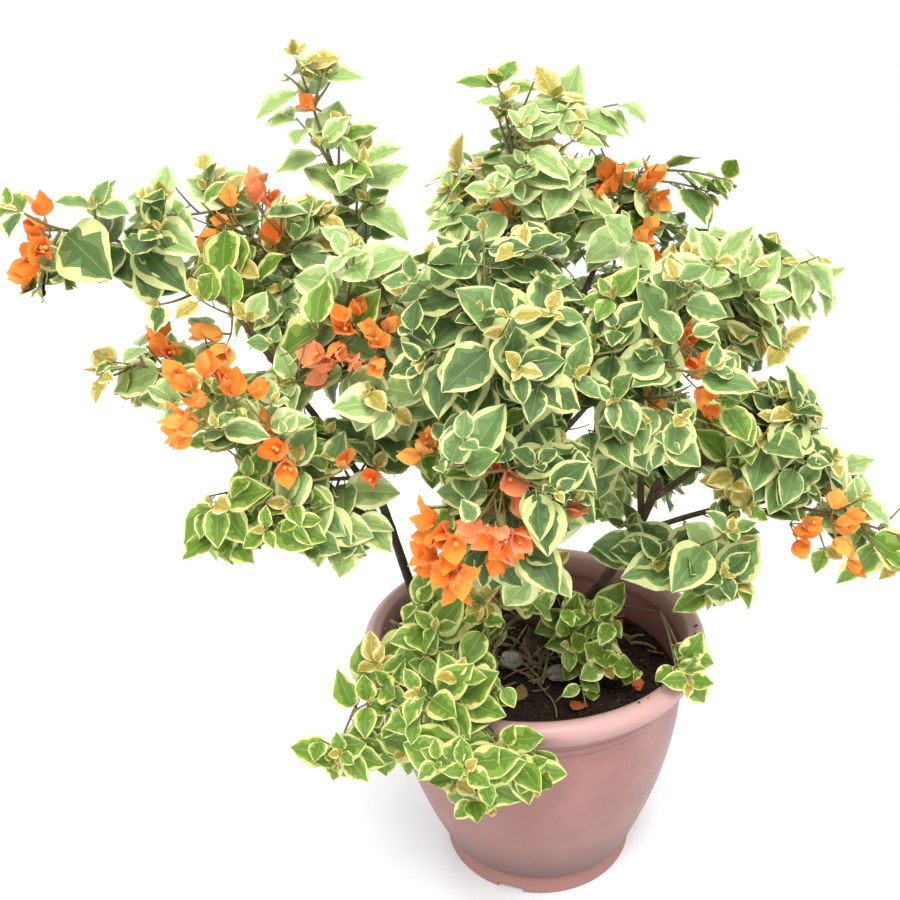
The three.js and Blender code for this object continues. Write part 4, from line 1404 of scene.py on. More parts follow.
@dataclass
class Mass:
    """A mass of foliage before it is filled: its stem, the middle of its space and its shoots."""

    row: MassRow
    seed: int
    stem: Run
    reach: float
    centre: Array
    shoots: list[Shoot]

    @property
    def name(self) -> str:
        """Its row's name."""
        return self.row.name


def grow_limbs() -> dict[str, Limb]:
    """Grows every limb from its row."""
    limbs: dict[str, Limb] = {}
    for row in LIMBS:
        parent = limbs.get(row.parent)
        foot = np.array((*row.foot, SOIL.top - LIMB.foot_depth), dtype=float)
        start = parent.run.point(row.at) if parent else foot
        run = bowed(start, np.array(row.tip, dtype=float), row.bow, LIMB.steps)
        flare = LIMB.flare if row.name == "trunk" else 0.0
        limbs[row.name] = Limb(row, run, limb_radius(row.radius, flare))
    return limbs


def limb_radius(ends: tuple[float, float], flare: float) -> Callable[[float], float]:
    """The radius of a limb at a share of its length, with a flare where it leaves the soil."""
    def radius(share: float) -> float:
        """The radius at one share."""
        widening = flare * max(0.0, 1 - share / LIMB.flare_share) ** 2
        return lerp(ends[0], ends[1], share ** LIMB.taper) + widening
    return radius


def grow_mass(row: MassRow, index: int, limbs: dict[str, Limb]) -> Mass:
    """Everything that a mass could grow, before what has no room is shortened or skipped.

    Args:
        row: The mass's row.
        index: Its place in the list, which seeds it.
        limbs: The grown limbs.

    Returns:
        The mass.
    """
    seed = SEED.mass + index * SEED.mass_step
    draw = seeded(seed)
    start = limbs[row.limb].run.point(row.at)
    end = np.array(row.tip, dtype=float)
    reach = float(np.linalg.norm(end - start))
    arch = row.arch if row.arch is not None else reach * STEM.rise
    stem = bowed(start, end, (0, 0, arch), STEM.steps)
    centre = start + (end - start) * STEM.heart_at - UP * row.girth * STEM.heart_drop
    first_turn = draw() * math.tau
    shoots = []
    for number in range(row.shoots):
        at = SHOOT.first + SHOOT.spread * ((number + 0.5 * draw()) / row.shoots)
        length = row.girth * (SHOOT.shortest + SHOOT.varied * draw()) * (1 - SHOOT.shrink * at)
        turn = first_turn + number * GOLDEN_ANGLE
        shoots.append(Shoot(at, turn, length, SHOOT.rise * draw(), seed * SEED.shoot_step + number))
    return Mass(row, seed, stem, reach, centre, shoots)


def nodes_along(run: Run, length: float, first: float, mature: float,
                draw: Draw) -> list[Node]:
    """Leaf nodes round a twig at the golden angle, large at its base and young at its tip.

    Args:
        run: The twig.
        length: Its length.
        first: The share of it that stays bare.
        mature: The length of a grown leaf.
        draw: The twig's stream of numbers.

    Returns:
        The nodes, from the base to the tip.
    """
    count = max(1, int(length * (1 - first) / LEAF.pitch))
    phase = draw() * math.tau
    nodes = []
    for number in range(count + 1):
        at = lerp(first, 1.0, number / count * LEAF.last_node)
        wobble = np.array((draw() - 0.5, draw() - 0.5, draw() - 0.5))
        size = mature * (LEAF.largest - LEAF.shrink * at ** 2) * (1 + LEAF.varied * (draw() - 0.5))
        last = number == count
        nodes.append(Node(run, at, wobble, last, phase + number * GOLDEN_ANGLE,
                          size * LEAF.tip_size if last else size))
    return nodes


def frontness(point: Array) -> float:
    """How much a leaf turns to the front: not at the back, fully in the picture's view, and more up high."""
    shown = min(max((LEAF.front_until - float(point[1])) / LEAF.front_fade, 0.0), 1.0)
    return shown * (1 + LEAF.high_gain * min(max((float(point[2]) - LEAF.high) / LEAF.high_fade, 0.0), 1.0))


def leaf_at(node: Node, centre: Array, attempt: int) -> LeafPlace:
    """A leaf at its node leans out of the twig, turns off the crown's outward line, droops and faces out.

    Args:
        node: The leaf's node.
        centre: The middle of its mass.
        attempt: How often it was turned already.

    Returns:
        The leaf's place.
    """
    here = node.run.frame(node.at)
    outward = unit(unit(here.point - centre) + unit(here.point - CROWN_HEART) * LEAF.heart_pull)
    lean = (LEAF.tip_lean if node.last else LEAF.lean - LEAF.lean_loss * node.at) + LEAF.try_lean * attempt
    along = here.leaning(node.turn + attempt * LEAF.try_turn, lean)
    along = along - outward * LEAF.turn_aside * float(along @ outward)
    front = frontness(here.point)
    along = along - FRONT * LEAF.front_aside * min(front, 1.0) * float(along @ FRONT)
    along = unit(along + UP * (LEAF.tip_rise if node.last else -LEAF.droop))
    face = node.wobble * LEAF.wobble + UP * (LEAF.face_up - LEAF.face_up_loss * front)
    face = face + outward * (LEAF.face_out - LEAF.face_out_loss * front) + FRONT * LEAF.front * front
    face = unit(face - along * float(face @ along))
    return LeafPlace(here.point, along, face, node.length * LEAF.growth)


def shoot_run(stem: Run, shoot: Shoot, length: float, lean: float) -> Run:
    """A side shoot leaves the stem at its turn and sags before it rises to the light.

    Args:
        stem: What it grows from.
        shoot: The shoot.
        length: Its length after it was cut back.
        lean: How far it leans away from the stem.

    Returns:
        Its run.
    """
    here = stem.frame(shoot.at)
    direction = here.leaning(shoot.turn, lean)
    tip = here.point + direction * length + UP * shoot.lift * length
    return bowed(here.point, tip, (0, 0, -SHOOT.sag * length), TWIG.steps)


class Room:
    """Says whether a twig or a leaf has room: in its mass's space, clear of the limbs and of the pot."""

    def __init__(self, limbs: dict[str, Limb], masses: list[Mass]) -> None:
        """Gathers the balls of each mass's space, the pieces of limbs and stems, and the blossom's places.

        Args:
            limbs: The grown limbs.
            masses: The masses, before they are filled.
        """
        self.owners = [mass.name for mass in masses for _ in STEM.balls]
        self.centres = np.array([mass.stem.point(share) for mass in masses for share in STEM.balls])
        self.radii = np.array([mass.row.girth + mass.row.leaf / 2 for mass in masses for _ in STEM.balls])
        self.apart = np.linalg.norm(self.centres[:, None] - self.centres[None], axis=2)
        rows = []
        for limb in limbs.values():
            rows += self.pieces(limb.row.name, limb.run, limb.radius)
        for mass in masses:
            rows += self.pieces(mass.name, mass.stem, lambda share: STEM.radius)
        self.piece_owner, self.piece_start, self.piece_end, self.piece_radius = map(np.array, zip(*rows))
        self.hearts: dict[tuple[int, int, int], list[Array]] = {}
        spots = np.array([place for place, _ in BLOSSOM], dtype=float)
        away = spots - CROWN_HEART
        self.bloom_start = spots
        self.bloom_end = spots + away / np.linalg.norm(away, axis=1)[:, None] * MARGIN.bloom_length
        self.bloom_radius = np.array([MARGIN.bloom + MARGIN.bloom_each * count for _, count in BLOSSOM])
        self.bloom_pixel = VIEW.project(spots)
        self.bloom_depth = VIEW.depth(spots)
        clear = np.array([MARGIN.bloom_pixels + MARGIN.bloom_pixels_each * count for _, count in BLOSSOM])
        self.bloom_clear = np.where(spots[:, 1] < MARGIN.bloom_back, clear, 0.0)
        self.outlines = [np.array(outline, dtype=float) for outline in OUTLINES]
        self.openings = np.array(OPENINGS, dtype=float)

    @staticmethod
    def pieces(owner: str, run: Run, radius: Callable[[float], float]) -> list[tuple]:
        """Straight pieces of a run between every fourth of its points, with their owner and radius."""
        last = len(run.points) - 1
        stops = list(range(0, last, 4)) + [last]
        return [(owner, run.points[a], run.points[b], radius(a / last)) for a, b in zip(stops, stops[1:])]

    def in_space(self, owner: str, points: Array, margin: float) -> bool:
        """Whether all points lie in the owner's space.

        Args:
            owner: A mass.
            points: One row for each point.
            margin: How far inside they have to lie, or how far outside they may where it is negative.

        Returns:
            True where they do.
        """
        own = np.array([name == owner for name in self.owners])
        power = ((points[:, None] - self.centres[None]) ** 2).sum(axis=2) - self.radii ** 2
        home = np.where(own, power, np.inf).argmin(axis=1)
        spare = power - power[np.arange(len(points)), home][:, None]
        return bool(((spare > 2 * margin * self.apart[home]) | own).all())

    @staticmethod
    def off_pot(points: Array) -> bool:
        """Whether all points clear the pot's wall, its rim and the soil."""
        radius = np.hypot(points[:, 0], points[:, 1])
        height = points[:, 2]
        over = height > POT.height + MARGIN.above
        outside = (radius > POT.rim_radius + MARGIN.rim) & (height > MARGIN.floor)
        inside = (radius < POT.rim_crest - MARGIN.wall) & (height > SOIL.top + MARGIN.above)
        return bool((over | outside | inside).all())

    @staticmethod
    def in_box(points: Array) -> bool:
        """Whether all points stay within the frame's box, apart from a small margin."""
        low = np.array(CAD_BOX[0]) / MM - MARGIN.box
        high = np.array(CAD_BOX[1]) / MM + MARGIN.box
        return bool((points > low).all() and (points < high).all())

    def twig_fits(self, owner: str, run: Run) -> bool:
        """Whether a twig has room.

        Args:
            owner: Its mass.
            run: The twig.

        Returns:
            True where it has.
        """
        probes = np.array([run.point(share) for share in TWIG.probes])
        if not self.off_pot(probes) or not self.in_space(owner, probes[1:], MARGIN.space):
            return False
        clear = self.clears(owner, probes[0], probes[-1], TWIG.radius + MARGIN.limb)
        return clear and self.framed(probes[2:])

    def clears(self, owner: str, start: Array, end: Array, gap: float) -> bool:
        """Whether a straight piece clears all limbs and stems but those of its owner.

        Args:
            owner: Its mass.
            start: Where it starts.
            end: Where it ends.
            gap: How far it has to stay off them.

        Returns:
            True where it does.
        """
        others = self.piece_owner != owner
        gaps = gap_to_pieces(start, end, self.piece_start[others], self.piece_end[others])
        return bool((gaps > self.piece_radius[others] + gap).all())

    def framed(self, points: Array) -> bool:
        """Whether all points lie within one of the picture's outlines."""
        pixels = VIEW.project(points)
        return any(bool(inside(pixels, outline).all()) for outline in self.outlines)

    def shown(self, points: Array, framed: bool = True) -> bool:
        """Whether a leaf lies within the picture's outline, off its openings and off the blossom.

        Args:
            points: The leaf's heart and its tip, and its two sides where they count too.
            framed: Whether the outline counts.

        Returns:
            True where it does.
        """
        pixels = VIEW.project(points)
        if framed and not self.framed(points):
            return False
        heart = (pixels[0] - self.openings[:, :2]) / self.openings[:, 2:]
        tip = (pixels[1] - self.openings[:, :2]) / self.openings[:, 2:]
        on_heart = ((heart ** 2).sum(axis=1) < MARGIN.opening_heart).any()
        if on_heart or ((tip ** 2).sum(axis=1) < MARGIN.opening_tip).any():
            return False
        aside = np.linalg.norm(self.bloom_pixel[:, None] - pixels[None], axis=2).min(axis=1)
        if ((aside < self.bloom_clear) & (self.bloom_depth > VIEW.depth(points[:1]))).any():
            return False
        gaps = gap_to_pieces(points[0], points[1], self.bloom_start, self.bloom_end)
        return bool((gaps > self.bloom_radius).all())

    def leaf_fits(self, owner: str, place: LeafPlace) -> bool:
        """Whether a leaf has room.

        Args:
            owner: Its mass.
            place: The leaf's place.

        Returns:
            True where it has.
        """
        heart, tip = place.at(LEAF.heart + LEAF.stalk), place.at(1 + LEAF.stalk)
        half = cross(place.along, place.face) * place.length * LEAF.half
        points = np.array((heart, tip, heart + half, heart - half))
        return (self.in_space(owner, points, MARGIN.mingle) and self.off_pot(points) and self.in_box(points)
                and self.shown(points) and self.clears(owner, heart, tip, MARGIN.blade)
                and self.uncrowded(heart, place.length * LEAF.crowding))

    def rosette_fits(self, place: LeafPlace, framed: bool = True) -> bool:
        """Whether a small leaf at a twig's tip has room, in the picture's outline too where that counts."""
        points = np.array((place.at(LEAF.heart + LEAF.stalk), place.at(LEAF.rosette_tip + LEAF.stalk)))
        return self.off_pot(points) and self.in_box(points) and self.shown(points, framed)

    def uncrowded(self, heart: Array, room: float) -> bool:
        """Whether no other leaf's heart is near, and keeps the place where that is so.

        Args:
            heart: The middle of the leaf.
            room: How near another may be.

        Returns:
            True where none is.
        """
        cell = tuple(int(value // MARGIN.cell) for value in heart)
        for step in product((-1, 0, 1), repeat=3):
            for other in self.hearts.get(tuple(map(sum, zip(cell, step))), ()):
                if float((other - heart) @ (other - heart)) < room * room:
                    return False
        self.hearts.setdefault(cell, []).append(heart)
        return True


def gap_to_pieces(start: Array, end: Array, starts: Array, ends: Array) -> Array:
    """The gap between one straight piece and many.

    Args:
        start: Where the one starts.
        end: Where it ends.
        starts: Where the others start.
        ends: Where they end.

    Returns:
        One gap for each of the others.
    """
    ab = end - start
    cd = ends - starts
    ca = start - starts
    ab_ab = float(ab @ ab)
    cd_cd = (cd * cd).sum(axis=1)
    ab_cd = cd @ ab
    cd_ca = (cd * ca).sum(axis=1)
    ab_ca = ca @ ab
    square = ab_ab * cd_cd - ab_cd ** 2
    safe = np.where(square > 1e-9, square, 1.0)
    s = np.where(square > 1e-9, np.clip((ab_cd * cd_ca - cd_cd * ab_ca) / safe, 0, 1), 0.0)
    t = np.clip((ab_cd * s + cd_ca) / cd_cd, 0, 1)
    s = np.clip((ab_cd * t - ab_ca) / ab_ab, 0, 1)
    between = (start + ab * s[:, None]) - (starts + cd * t[:, None])
    return np.sqrt((between ** 2).sum(axis=1))


@dataclass
class Blade:
    """The outline and the bends of a leaf or a bract, as shares of its length."""

    rows: int = 14
    width: float = 0.74
    base: float = 0.54
    point: float = 0.84
    nib: float = 0.42
    fold: float = 0.24
    curl: float = 0.22
    wave: float = 0.035
    veins: float = 0.006
    first: float = 0.012
    last: float = 0.99
    nib_power: int = 6
    waves: float = 1.7
    bend: float = 0.06
    widths: tuple[float, float] = (0.86, 1.12)
    folds: tuple[float, float] = (0.35, 1.5)
    curls: tuple[float, float] = (-0.3, 1.9)

    def even(self, count: int) -> Array:
        """Even columns from edge to edge, as shares of the half width."""
        return np.tile(np.linspace(-1, 1, count), (self.rows, 1))

    def grid(self, place: LeafPlace, columns: Array, stream: np.random.Generator) -> Array:
        """The points of one blade.

        Args:
            place: Where it starts, points and faces.
            columns: Shares of the half width, one row for each row of the blade.
            stream: Random numbers.

        Returns:
            Rows and columns of points.
        """
        even = np.linspace(0, 1, self.rows)
        along = self.first + (self.last - self.first) * (0.5 * even + 0.25 * (1 - np.cos(math.pi * even)))
        peak = self.base / (self.base + self.point)
        top = peak ** self.base * (1 - peak) ** self.point
        outline = along ** self.base * (1 - along) ** self.point / top
        outline = outline * (1 - self.nib * along ** self.nib_power)
        half = 0.5 * self.width * stream.uniform(*self.widths) * outline
        across = columns * half[:, None]
        fold = self.fold * stream.uniform(*self.folds)
        curl = self.curl * stream.uniform(*self.curls)
        phase = stream.uniform(0, math.tau, 2)
        swing = np.where(columns < 0, phase[0], phase[1])
        ripple = np.sin(math.tau * self.waves * along[:, None] + swing) * columns ** 2
        quilt = np.where(np.arange(self.rows) % 2 == 0, 1.0, -1.0)[:, None] * np.abs(columns)
        lift = fold * np.abs(across) - curl * along[:, None] ** 2
        lift = lift + self.wave * ripple * np.sin(math.pi * along)[:, None] + self.veins * quilt
        bend = stream.uniform(-self.bend, self.bend) * along ** 2
        side = cross(place.along, place.face)
        spread = (across + bend[:, None])[..., None] * side
        forward = (along - 0.5 * curl * curl * along ** 3)[:, None, None] * place.along
        return place.point + place.length * (spread + forward + lift[..., None] * place.face)


class Foliage:
    """All leaves and twigs: they grow on from the limbs by the source's rule, carried to finer twigs."""

    def __init__(self, limbs: dict[str, Limb], masses: list[Mass]) -> None:
        """Starts the piles of each kind and zone."""
        self.limbs = limbs
        self.masses = masses
        self.room = Room(limbs, masses)
        self.blade = Blade()
        self.stream = np.random.default_rng(SEED.foliage)
        self.leaves = {(kind, zone): MeshPile(f"leaves_{kind.value}_{zone.value}")
                       for kind, zone in product(Kind, Zone)}
        self.stems = MeshPile("leafy_stems")
        self.twigs = MeshPile("green_twigs")
        self.stalks = MeshPile("leaf_stalks")
        self.thorns = MeshPile("thorns")
        self.count = 0

    def zones(self, kind: Kind) -> Array:
        """The columns of a leaf: its edge, the border of its cream edge and of its dark heart, and its rib.

        Args:
            kind: Its kind. Yellow-green leaves have the narrowest cream edge.

        Returns:
            Eight shares of the half width for each row of the blade.
        """
        rows = self.blade.rows
        along = np.linspace(0, 1, rows)
        middle = 1 - ZONE.end_loss * np.abs(2 * along - ZONE.middle) ** ZONE.end_power
        columns = np.zeros((rows, 8))
        width = self.stream.uniform(ZONE.narrowest_lime if kind is Kind.LIME else ZONE.narrowest, ZONE.widest)
        for side, places in ((-1, (3, 2, 1, 0)), (1, (4, 5, 6, 7))):
            rough = self.stream.normal(0, 1, rows)
            rough = rough + ZONE.rough_pairs * np.repeat(self.stream.normal(0, 1, rows // 2 + 1), 2)[:rows]
            away = (along - self.stream.uniform(*ZONE.notch_places)) / ZONE.notch_width
            notch = ZONE.notch * np.exp(-away ** 2) * self.stream.random()
            border = np.clip((width + ZONE.rough * rough - notch) * middle, *ZONE.border_range)
            heart = ZONE.heart + ZONE.heart_varied * self.stream.normal(0, 1, rows)
            inner = border * np.clip(heart, *ZONE.heart_range)
            for place, share in zip(places, (ZONE.rib, inner, border, 1)):
                columns[:, place] = side * share
        return columns

    def add_leaf(self, node: Node, mass: Mass, kind: Kind) -> None:
        """Tries a leaf at its own turn, then at a few others.

        Args:
            node: Its node.
            mass: Its mass.
            kind: Its kind.
        """
        for attempt in range(LEAF.tries):
            place = leaf_at(node, mass.centre, attempt)
            if self.room.leaf_fits(mass.name, place):
                self.draw_leaf(place, kind)
                return

    def draw_leaf(self, place: LeafPlace, kind: Kind) -> None:
        """Adds one leaf and its stalk to the piles.

        Args:
            place: Where the stalk starts, and where the leaf points and faces.
            kind: The leaf's kind.
        """
        stalk = place.length * LEAF.stalk
        base = place.point + place.along * stalk
        sagging = (place.point + base) / 2 - place.face * 0.4
        bow = Run(np.array((place.point, sagging, base + place.along * 2)))
        self.stalks.add_tube(bow, (0.75, 0.6, 0.5), 4)
        grid = self.blade.grid(replace(place, point=base), self.zones(kind), self.stream)
        for first, zone in enumerate(ZONES_ACROSS):
            self.leaves[kind, zone].add_grid(grid[:, first:first + 2])
        self.count += 1

    def kind_of(self, node: Node, spray: Kind) -> Kind:
        """The kind of a leaf: that of its spray, and young at the tip of most twigs."""
        near_tip = node.at > LEAF.young_from and node.length < LEAF.young_below
        return Kind.YOUNG if near_tip and self.stream.random() < LEAF.young_share else spray

    def spray(self, mass: Mass, run: Run) -> Kind:
        """The kind of a whole spray: yellow-green by the soil, grey-green in the heart, darker there as
        painted shade, and palest at the top as painted light.
        """
        other = HIGH_CHANCES if run.points[-1, 2] > LEAF.pale_above else OTHER_CHANCES
        chances = next((row for names, row in SPRAY_CHANCES if mass.name in names), other)
        kinds = (Kind.DEEP, Kind.MIDDLE, Kind.LIGHT, Kind.LIME)
        return kinds[int(self.stream.choice(len(kinds), p=chances))]

    def add_twig(self, run: Run, finer: bool = False) -> None:
        """Draws a twig, or a finer one."""
        ends = (TWIG.finer, TWIG.finer_tip) if finer else (TWIG.radius, TWIG.tip)
        sides = TWIG.finer_sides if finer else TWIG.sides
        self.twigs.add_tube(run, np.linspace(*ends, len(run.points)), sides)

    def leaf_run(self, run: Run, nodes: list[Node], mass: Mass, kind: Kind, tips: int = 5) -> None:
        """Hangs the leaves of a run, with a rosette at its tip and a thorn at some nodes.

        Args:
            run: The twig or the stem.
            nodes: Its nodes.
            mass: Its mass.
            kind: The kind of its spray.
            tips: How many leaves the rosette has.
        """
        self.add_rosette(nodes[-1], mass, kind, tips)
        for node in nodes[:-1]:
            self.add_leaf(node, mass, self.kind_of(node, kind))
            if self.stream.random() < LEAF.thorn_share and node.at < LEAF.young_from:
                self.add_thorn(run, node)

    def add_rosette(self, tip: Node, mass: Mass, kind: Kind, tips: int = 5, framed: bool = True) -> None:
        """Ends a twig in a rosette: each leaf is smaller, younger and more upright than the one before.

        Args:
            tip: The twig's last node.
            mass: Its mass.
            kind: The kind of its spray.
            tips: How many leaves it has.
            framed: Whether the picture's outline counts. It doesn't for a sprig, whose rosette is larger.
        """
        golden = framed and self.stream.random() < ROSETTE.golden_share
        scale = 1.0 if framed else LEAF.rosette_scale
        count = len(ROSETTE.sizes)
        for number, (size, lean) in enumerate(ROSETTE.sizes[:tips]):
            here = tip.run.frame(ROSETTE.last - ROSETTE.depth * (count - number) / count)
            lean = lean + self.stream.uniform(-ROSETTE.sway, ROSETTE.sway)
            along = unit(here.leaning(tip.turn + number * GOLDEN_ANGLE, lean) + UP * ROSETTE.rise)
            face = UP * ROSETTE.face_up + unit(here.point - mass.centre) * ROSETTE.face_out
            face = face + self.stream.uniform(-ROSETTE.face_sway, ROSETTE.face_sway, 3)
            face = face + FRONT * LEAF.front * frontness(here.point)
            face = unit(face - along * float(face @ along))
            place = LeafPlace(here.point, along, face, tip.length / LEAF.tip_size * size * scale)
            young = number > 2 or (golden and number > 0)
            if self.room.rosette_fits(place, framed):
                self.draw_leaf(place, Kind.YOUNG if young else kind)

    def add_thorn(self, run: Run, node: Node) -> None:
        """Adds a short curved thorn above a node."""
        here = run.frame(node.at)
        out = here.leaning(node.turn + 0.5, 1.1)
        length = self.stream.uniform(4, 7)
        tip = here.point + out * length - UP * 0.8
        self.thorns.add_tube(Run(np.array((here.point, (here.point + tip) / 2 + UP * 0.3, tip))),
                             (0.75, 0.45, 0.08), 5)

    def add_shoot(self, mass: Mass, shoot: Shoot) -> None:
        """Adds a side shoot, cut back to the length that has room, with its finer twigs.

        Args:
            mass: Its mass.
            shoot: The shoot.
        """
        for share in SHOOT.shares:
            length = shoot.length * share
            run = shoot_run(mass.stem, shoot, length, SHOOT.lean)
            if self.room.twig_fits(mass.name, run):
                self.fill_shoot(mass, shoot, run, length, self.spray(mass, run))
                return

    def fill_shoot(self, mass: Mass, shoot: Shoot, run: Run, length: float, kind: Kind) -> None:
        """Draws a shoot that has room, its leaves and its finer twigs.

        Args:
            mass: Its mass.
            shoot: The shoot as planned.
            run: The shoot as cut back.
            length: Its length.
            kind: The kind of its spray.
        """
        self.add_twig(run)
        open_top = mass.name in OPEN_TOPS and shoot.at > SHOOT.slender_from
        slender = mass.name in SLENDER_MASSES or open_top
        grown = SHOOT.centre_leaf if mass.name in CENTRE_MASSES else 1.0
        grown, apart = (SHOOT.slender_leaf, SHOOT.slender_apart) if slender else (grown, grown)
        nodes = nodes_along(run, length / apart, SHOOT.leaves_from, mass.row.leaf * grown, seeded(shoot.seed))
        self.leaf_run(run, nodes, mass, kind)
        for number, at in enumerate(() if slender else SHOOT.finer_at):
            finer = Shoot(at, shoot.turn * 2 + number * GOLDEN_ANGLE, length * SHOOT.finer_length,
                          shoot.lift + SHOOT.finer_lift, shoot.seed * SEED.finer_step + number)
            twig = shoot_run(run, finer, finer.length, SHOOT.finer_lean)
            if self.room.twig_fits(mass.name, twig):
                self.add_twig(twig, finer=True)
                leaves = nodes_along(twig, finer.length, SHOOT.finer_leaves_from,
                                     mass.row.leaf * SHOOT.finer_leaf, seeded(finer.seed))
                self.leaf_run(twig, leaves, mass, kind, 3)

    def add_sprig(self, row: SprigRow, number: int) -> None:
        """Adds a sprig with pairs of leaves and a rosette at its tip.

        Args:
            row: The sprig's row.
            number: Its place in the list, which seeds it.
        """
        mass = next(mass for mass in self.masses if mass.name == row.mass)
        start = mass.stem.point(row.at)
        end = VIEW.at_depth(row.tip, row.depth)
        length = float(np.linalg.norm(end - start))
        run = bowed(start, end, (0, 0, SPRIG.rise * length), TWIG.steps)
        self.add_twig(run)
        nodes = nodes_along(run, length / row.pitch, SPRIG.leaves_from, row.leaf, seeded(SEED.sprig + number))
        kind = Kind(row.kind)
        self.add_rosette(nodes[-1], mass, kind, framed=False)
        for node in nodes[:-1]:
            for attempt in range(LEAF.tries):
                place = leaf_at(node, mass.centre, attempt)
                heart = place.point + place.along * SPRIG.heart
                if self.room.rosette_fits(place, False) and self.room.uncrowded(heart, SPRIG.room):
                    self.draw_leaf(place, kind)
                    break

    def add_spurs(self, mass: Mass) -> None:
        """Adds short leafy spurs along the outer part of the bough that carries a mass."""
        limb = self.limbs[mass.row.limb]
        if mass.row.at < 1 or "bough" not in limb.row.name:
            return
        draw = seeded(mass.seed * SEED.spur_step)
        for number, at in enumerate(SPUR.places):
            turn = draw() * math.tau + number * GOLDEN_ANGLE
            spur = Shoot(at, turn, SPUR.shortest + SPUR.varied * draw(), SPUR.lift, mass.seed + number)
            run = shoot_run(limb.run, spur, spur.length, SPUR.lean)
            points = np.array([run.point(share) for share in (0.3, 0.6, 1.0)])
            if self.room.off_pot(points) and self.room.framed(points):
                self.add_twig(run, finer=True)
                nodes = nodes_along(run, spur.length, SPUR.leaves_from, mass.row.leaf * SPUR.leaf,
                                    seeded(spur.seed))
                self.leaf_run(run, nodes, mass, self.spray(mass, run))

    def build(self) -> list[Piece]:
        """Fills every mass and makes the joined pieces.

        Returns:
            The pieces that stand for the masses.
        """
        for number, row in enumerate(SPRIGS):
            self.add_sprig(row, number)
        log.info("sprigs: %d leaves", self.count)
        for mass in self.masses:
            before = self.count
            stem = Run(mass.stem.points[:STEM.rim_steps]) if mass.name == "rim_sprout" else mass.stem
            self.stems.add_tube(stem, np.linspace(STEM.radius, TWIG.tip, len(stem.points)), STEM.sides)
            for shoot in mass.shoots[::2 if mass.name in THINNED_MASSES else 1]:
                self.add_shoot(mass, shoot)
            spread = mass.reach / (STEM.slender_spread if mass.name in SLENDER_MASSES else 1.0)
            seed = mass.seed * SEED.shoot_step + SEED.stem_leaves
            nodes = nodes_along(mass.stem, spread, STEM.leaves_from, mass.row.leaf, seeded(seed))
            self.leaf_run(mass.stem, nodes, mass, self.spray(mass, mass.stem))
            self.add_spurs(mass)
            log.info("%s: %d leaves", mass.name, self.count - before)
        pieces = []
        for (kind, zone), pile in self.leaves.items():
            finish = LeafFinish(f"leaf_{kind.value}_{zone.value}", LEAF_COLOURS[kind][zone])
            pieces.append(pile.build(finish.material(), "foliage"))
        for pile, name, colour, slot in (
                (self.stems, "brown_stem", "#6f5a3c", "bark"), (self.twigs, "green_wood", "#7c7442", "bark"),
                (self.stalks, "leaf_stalk", "#a2a765", "foliage"), (self.thorns, "thorn", "#8a6a45", "bark")):
            pieces.append(pile.build(TwigFinish(name, colour).material(), slot))
        log.info("%d leaves in all", self.count)
        return pieces


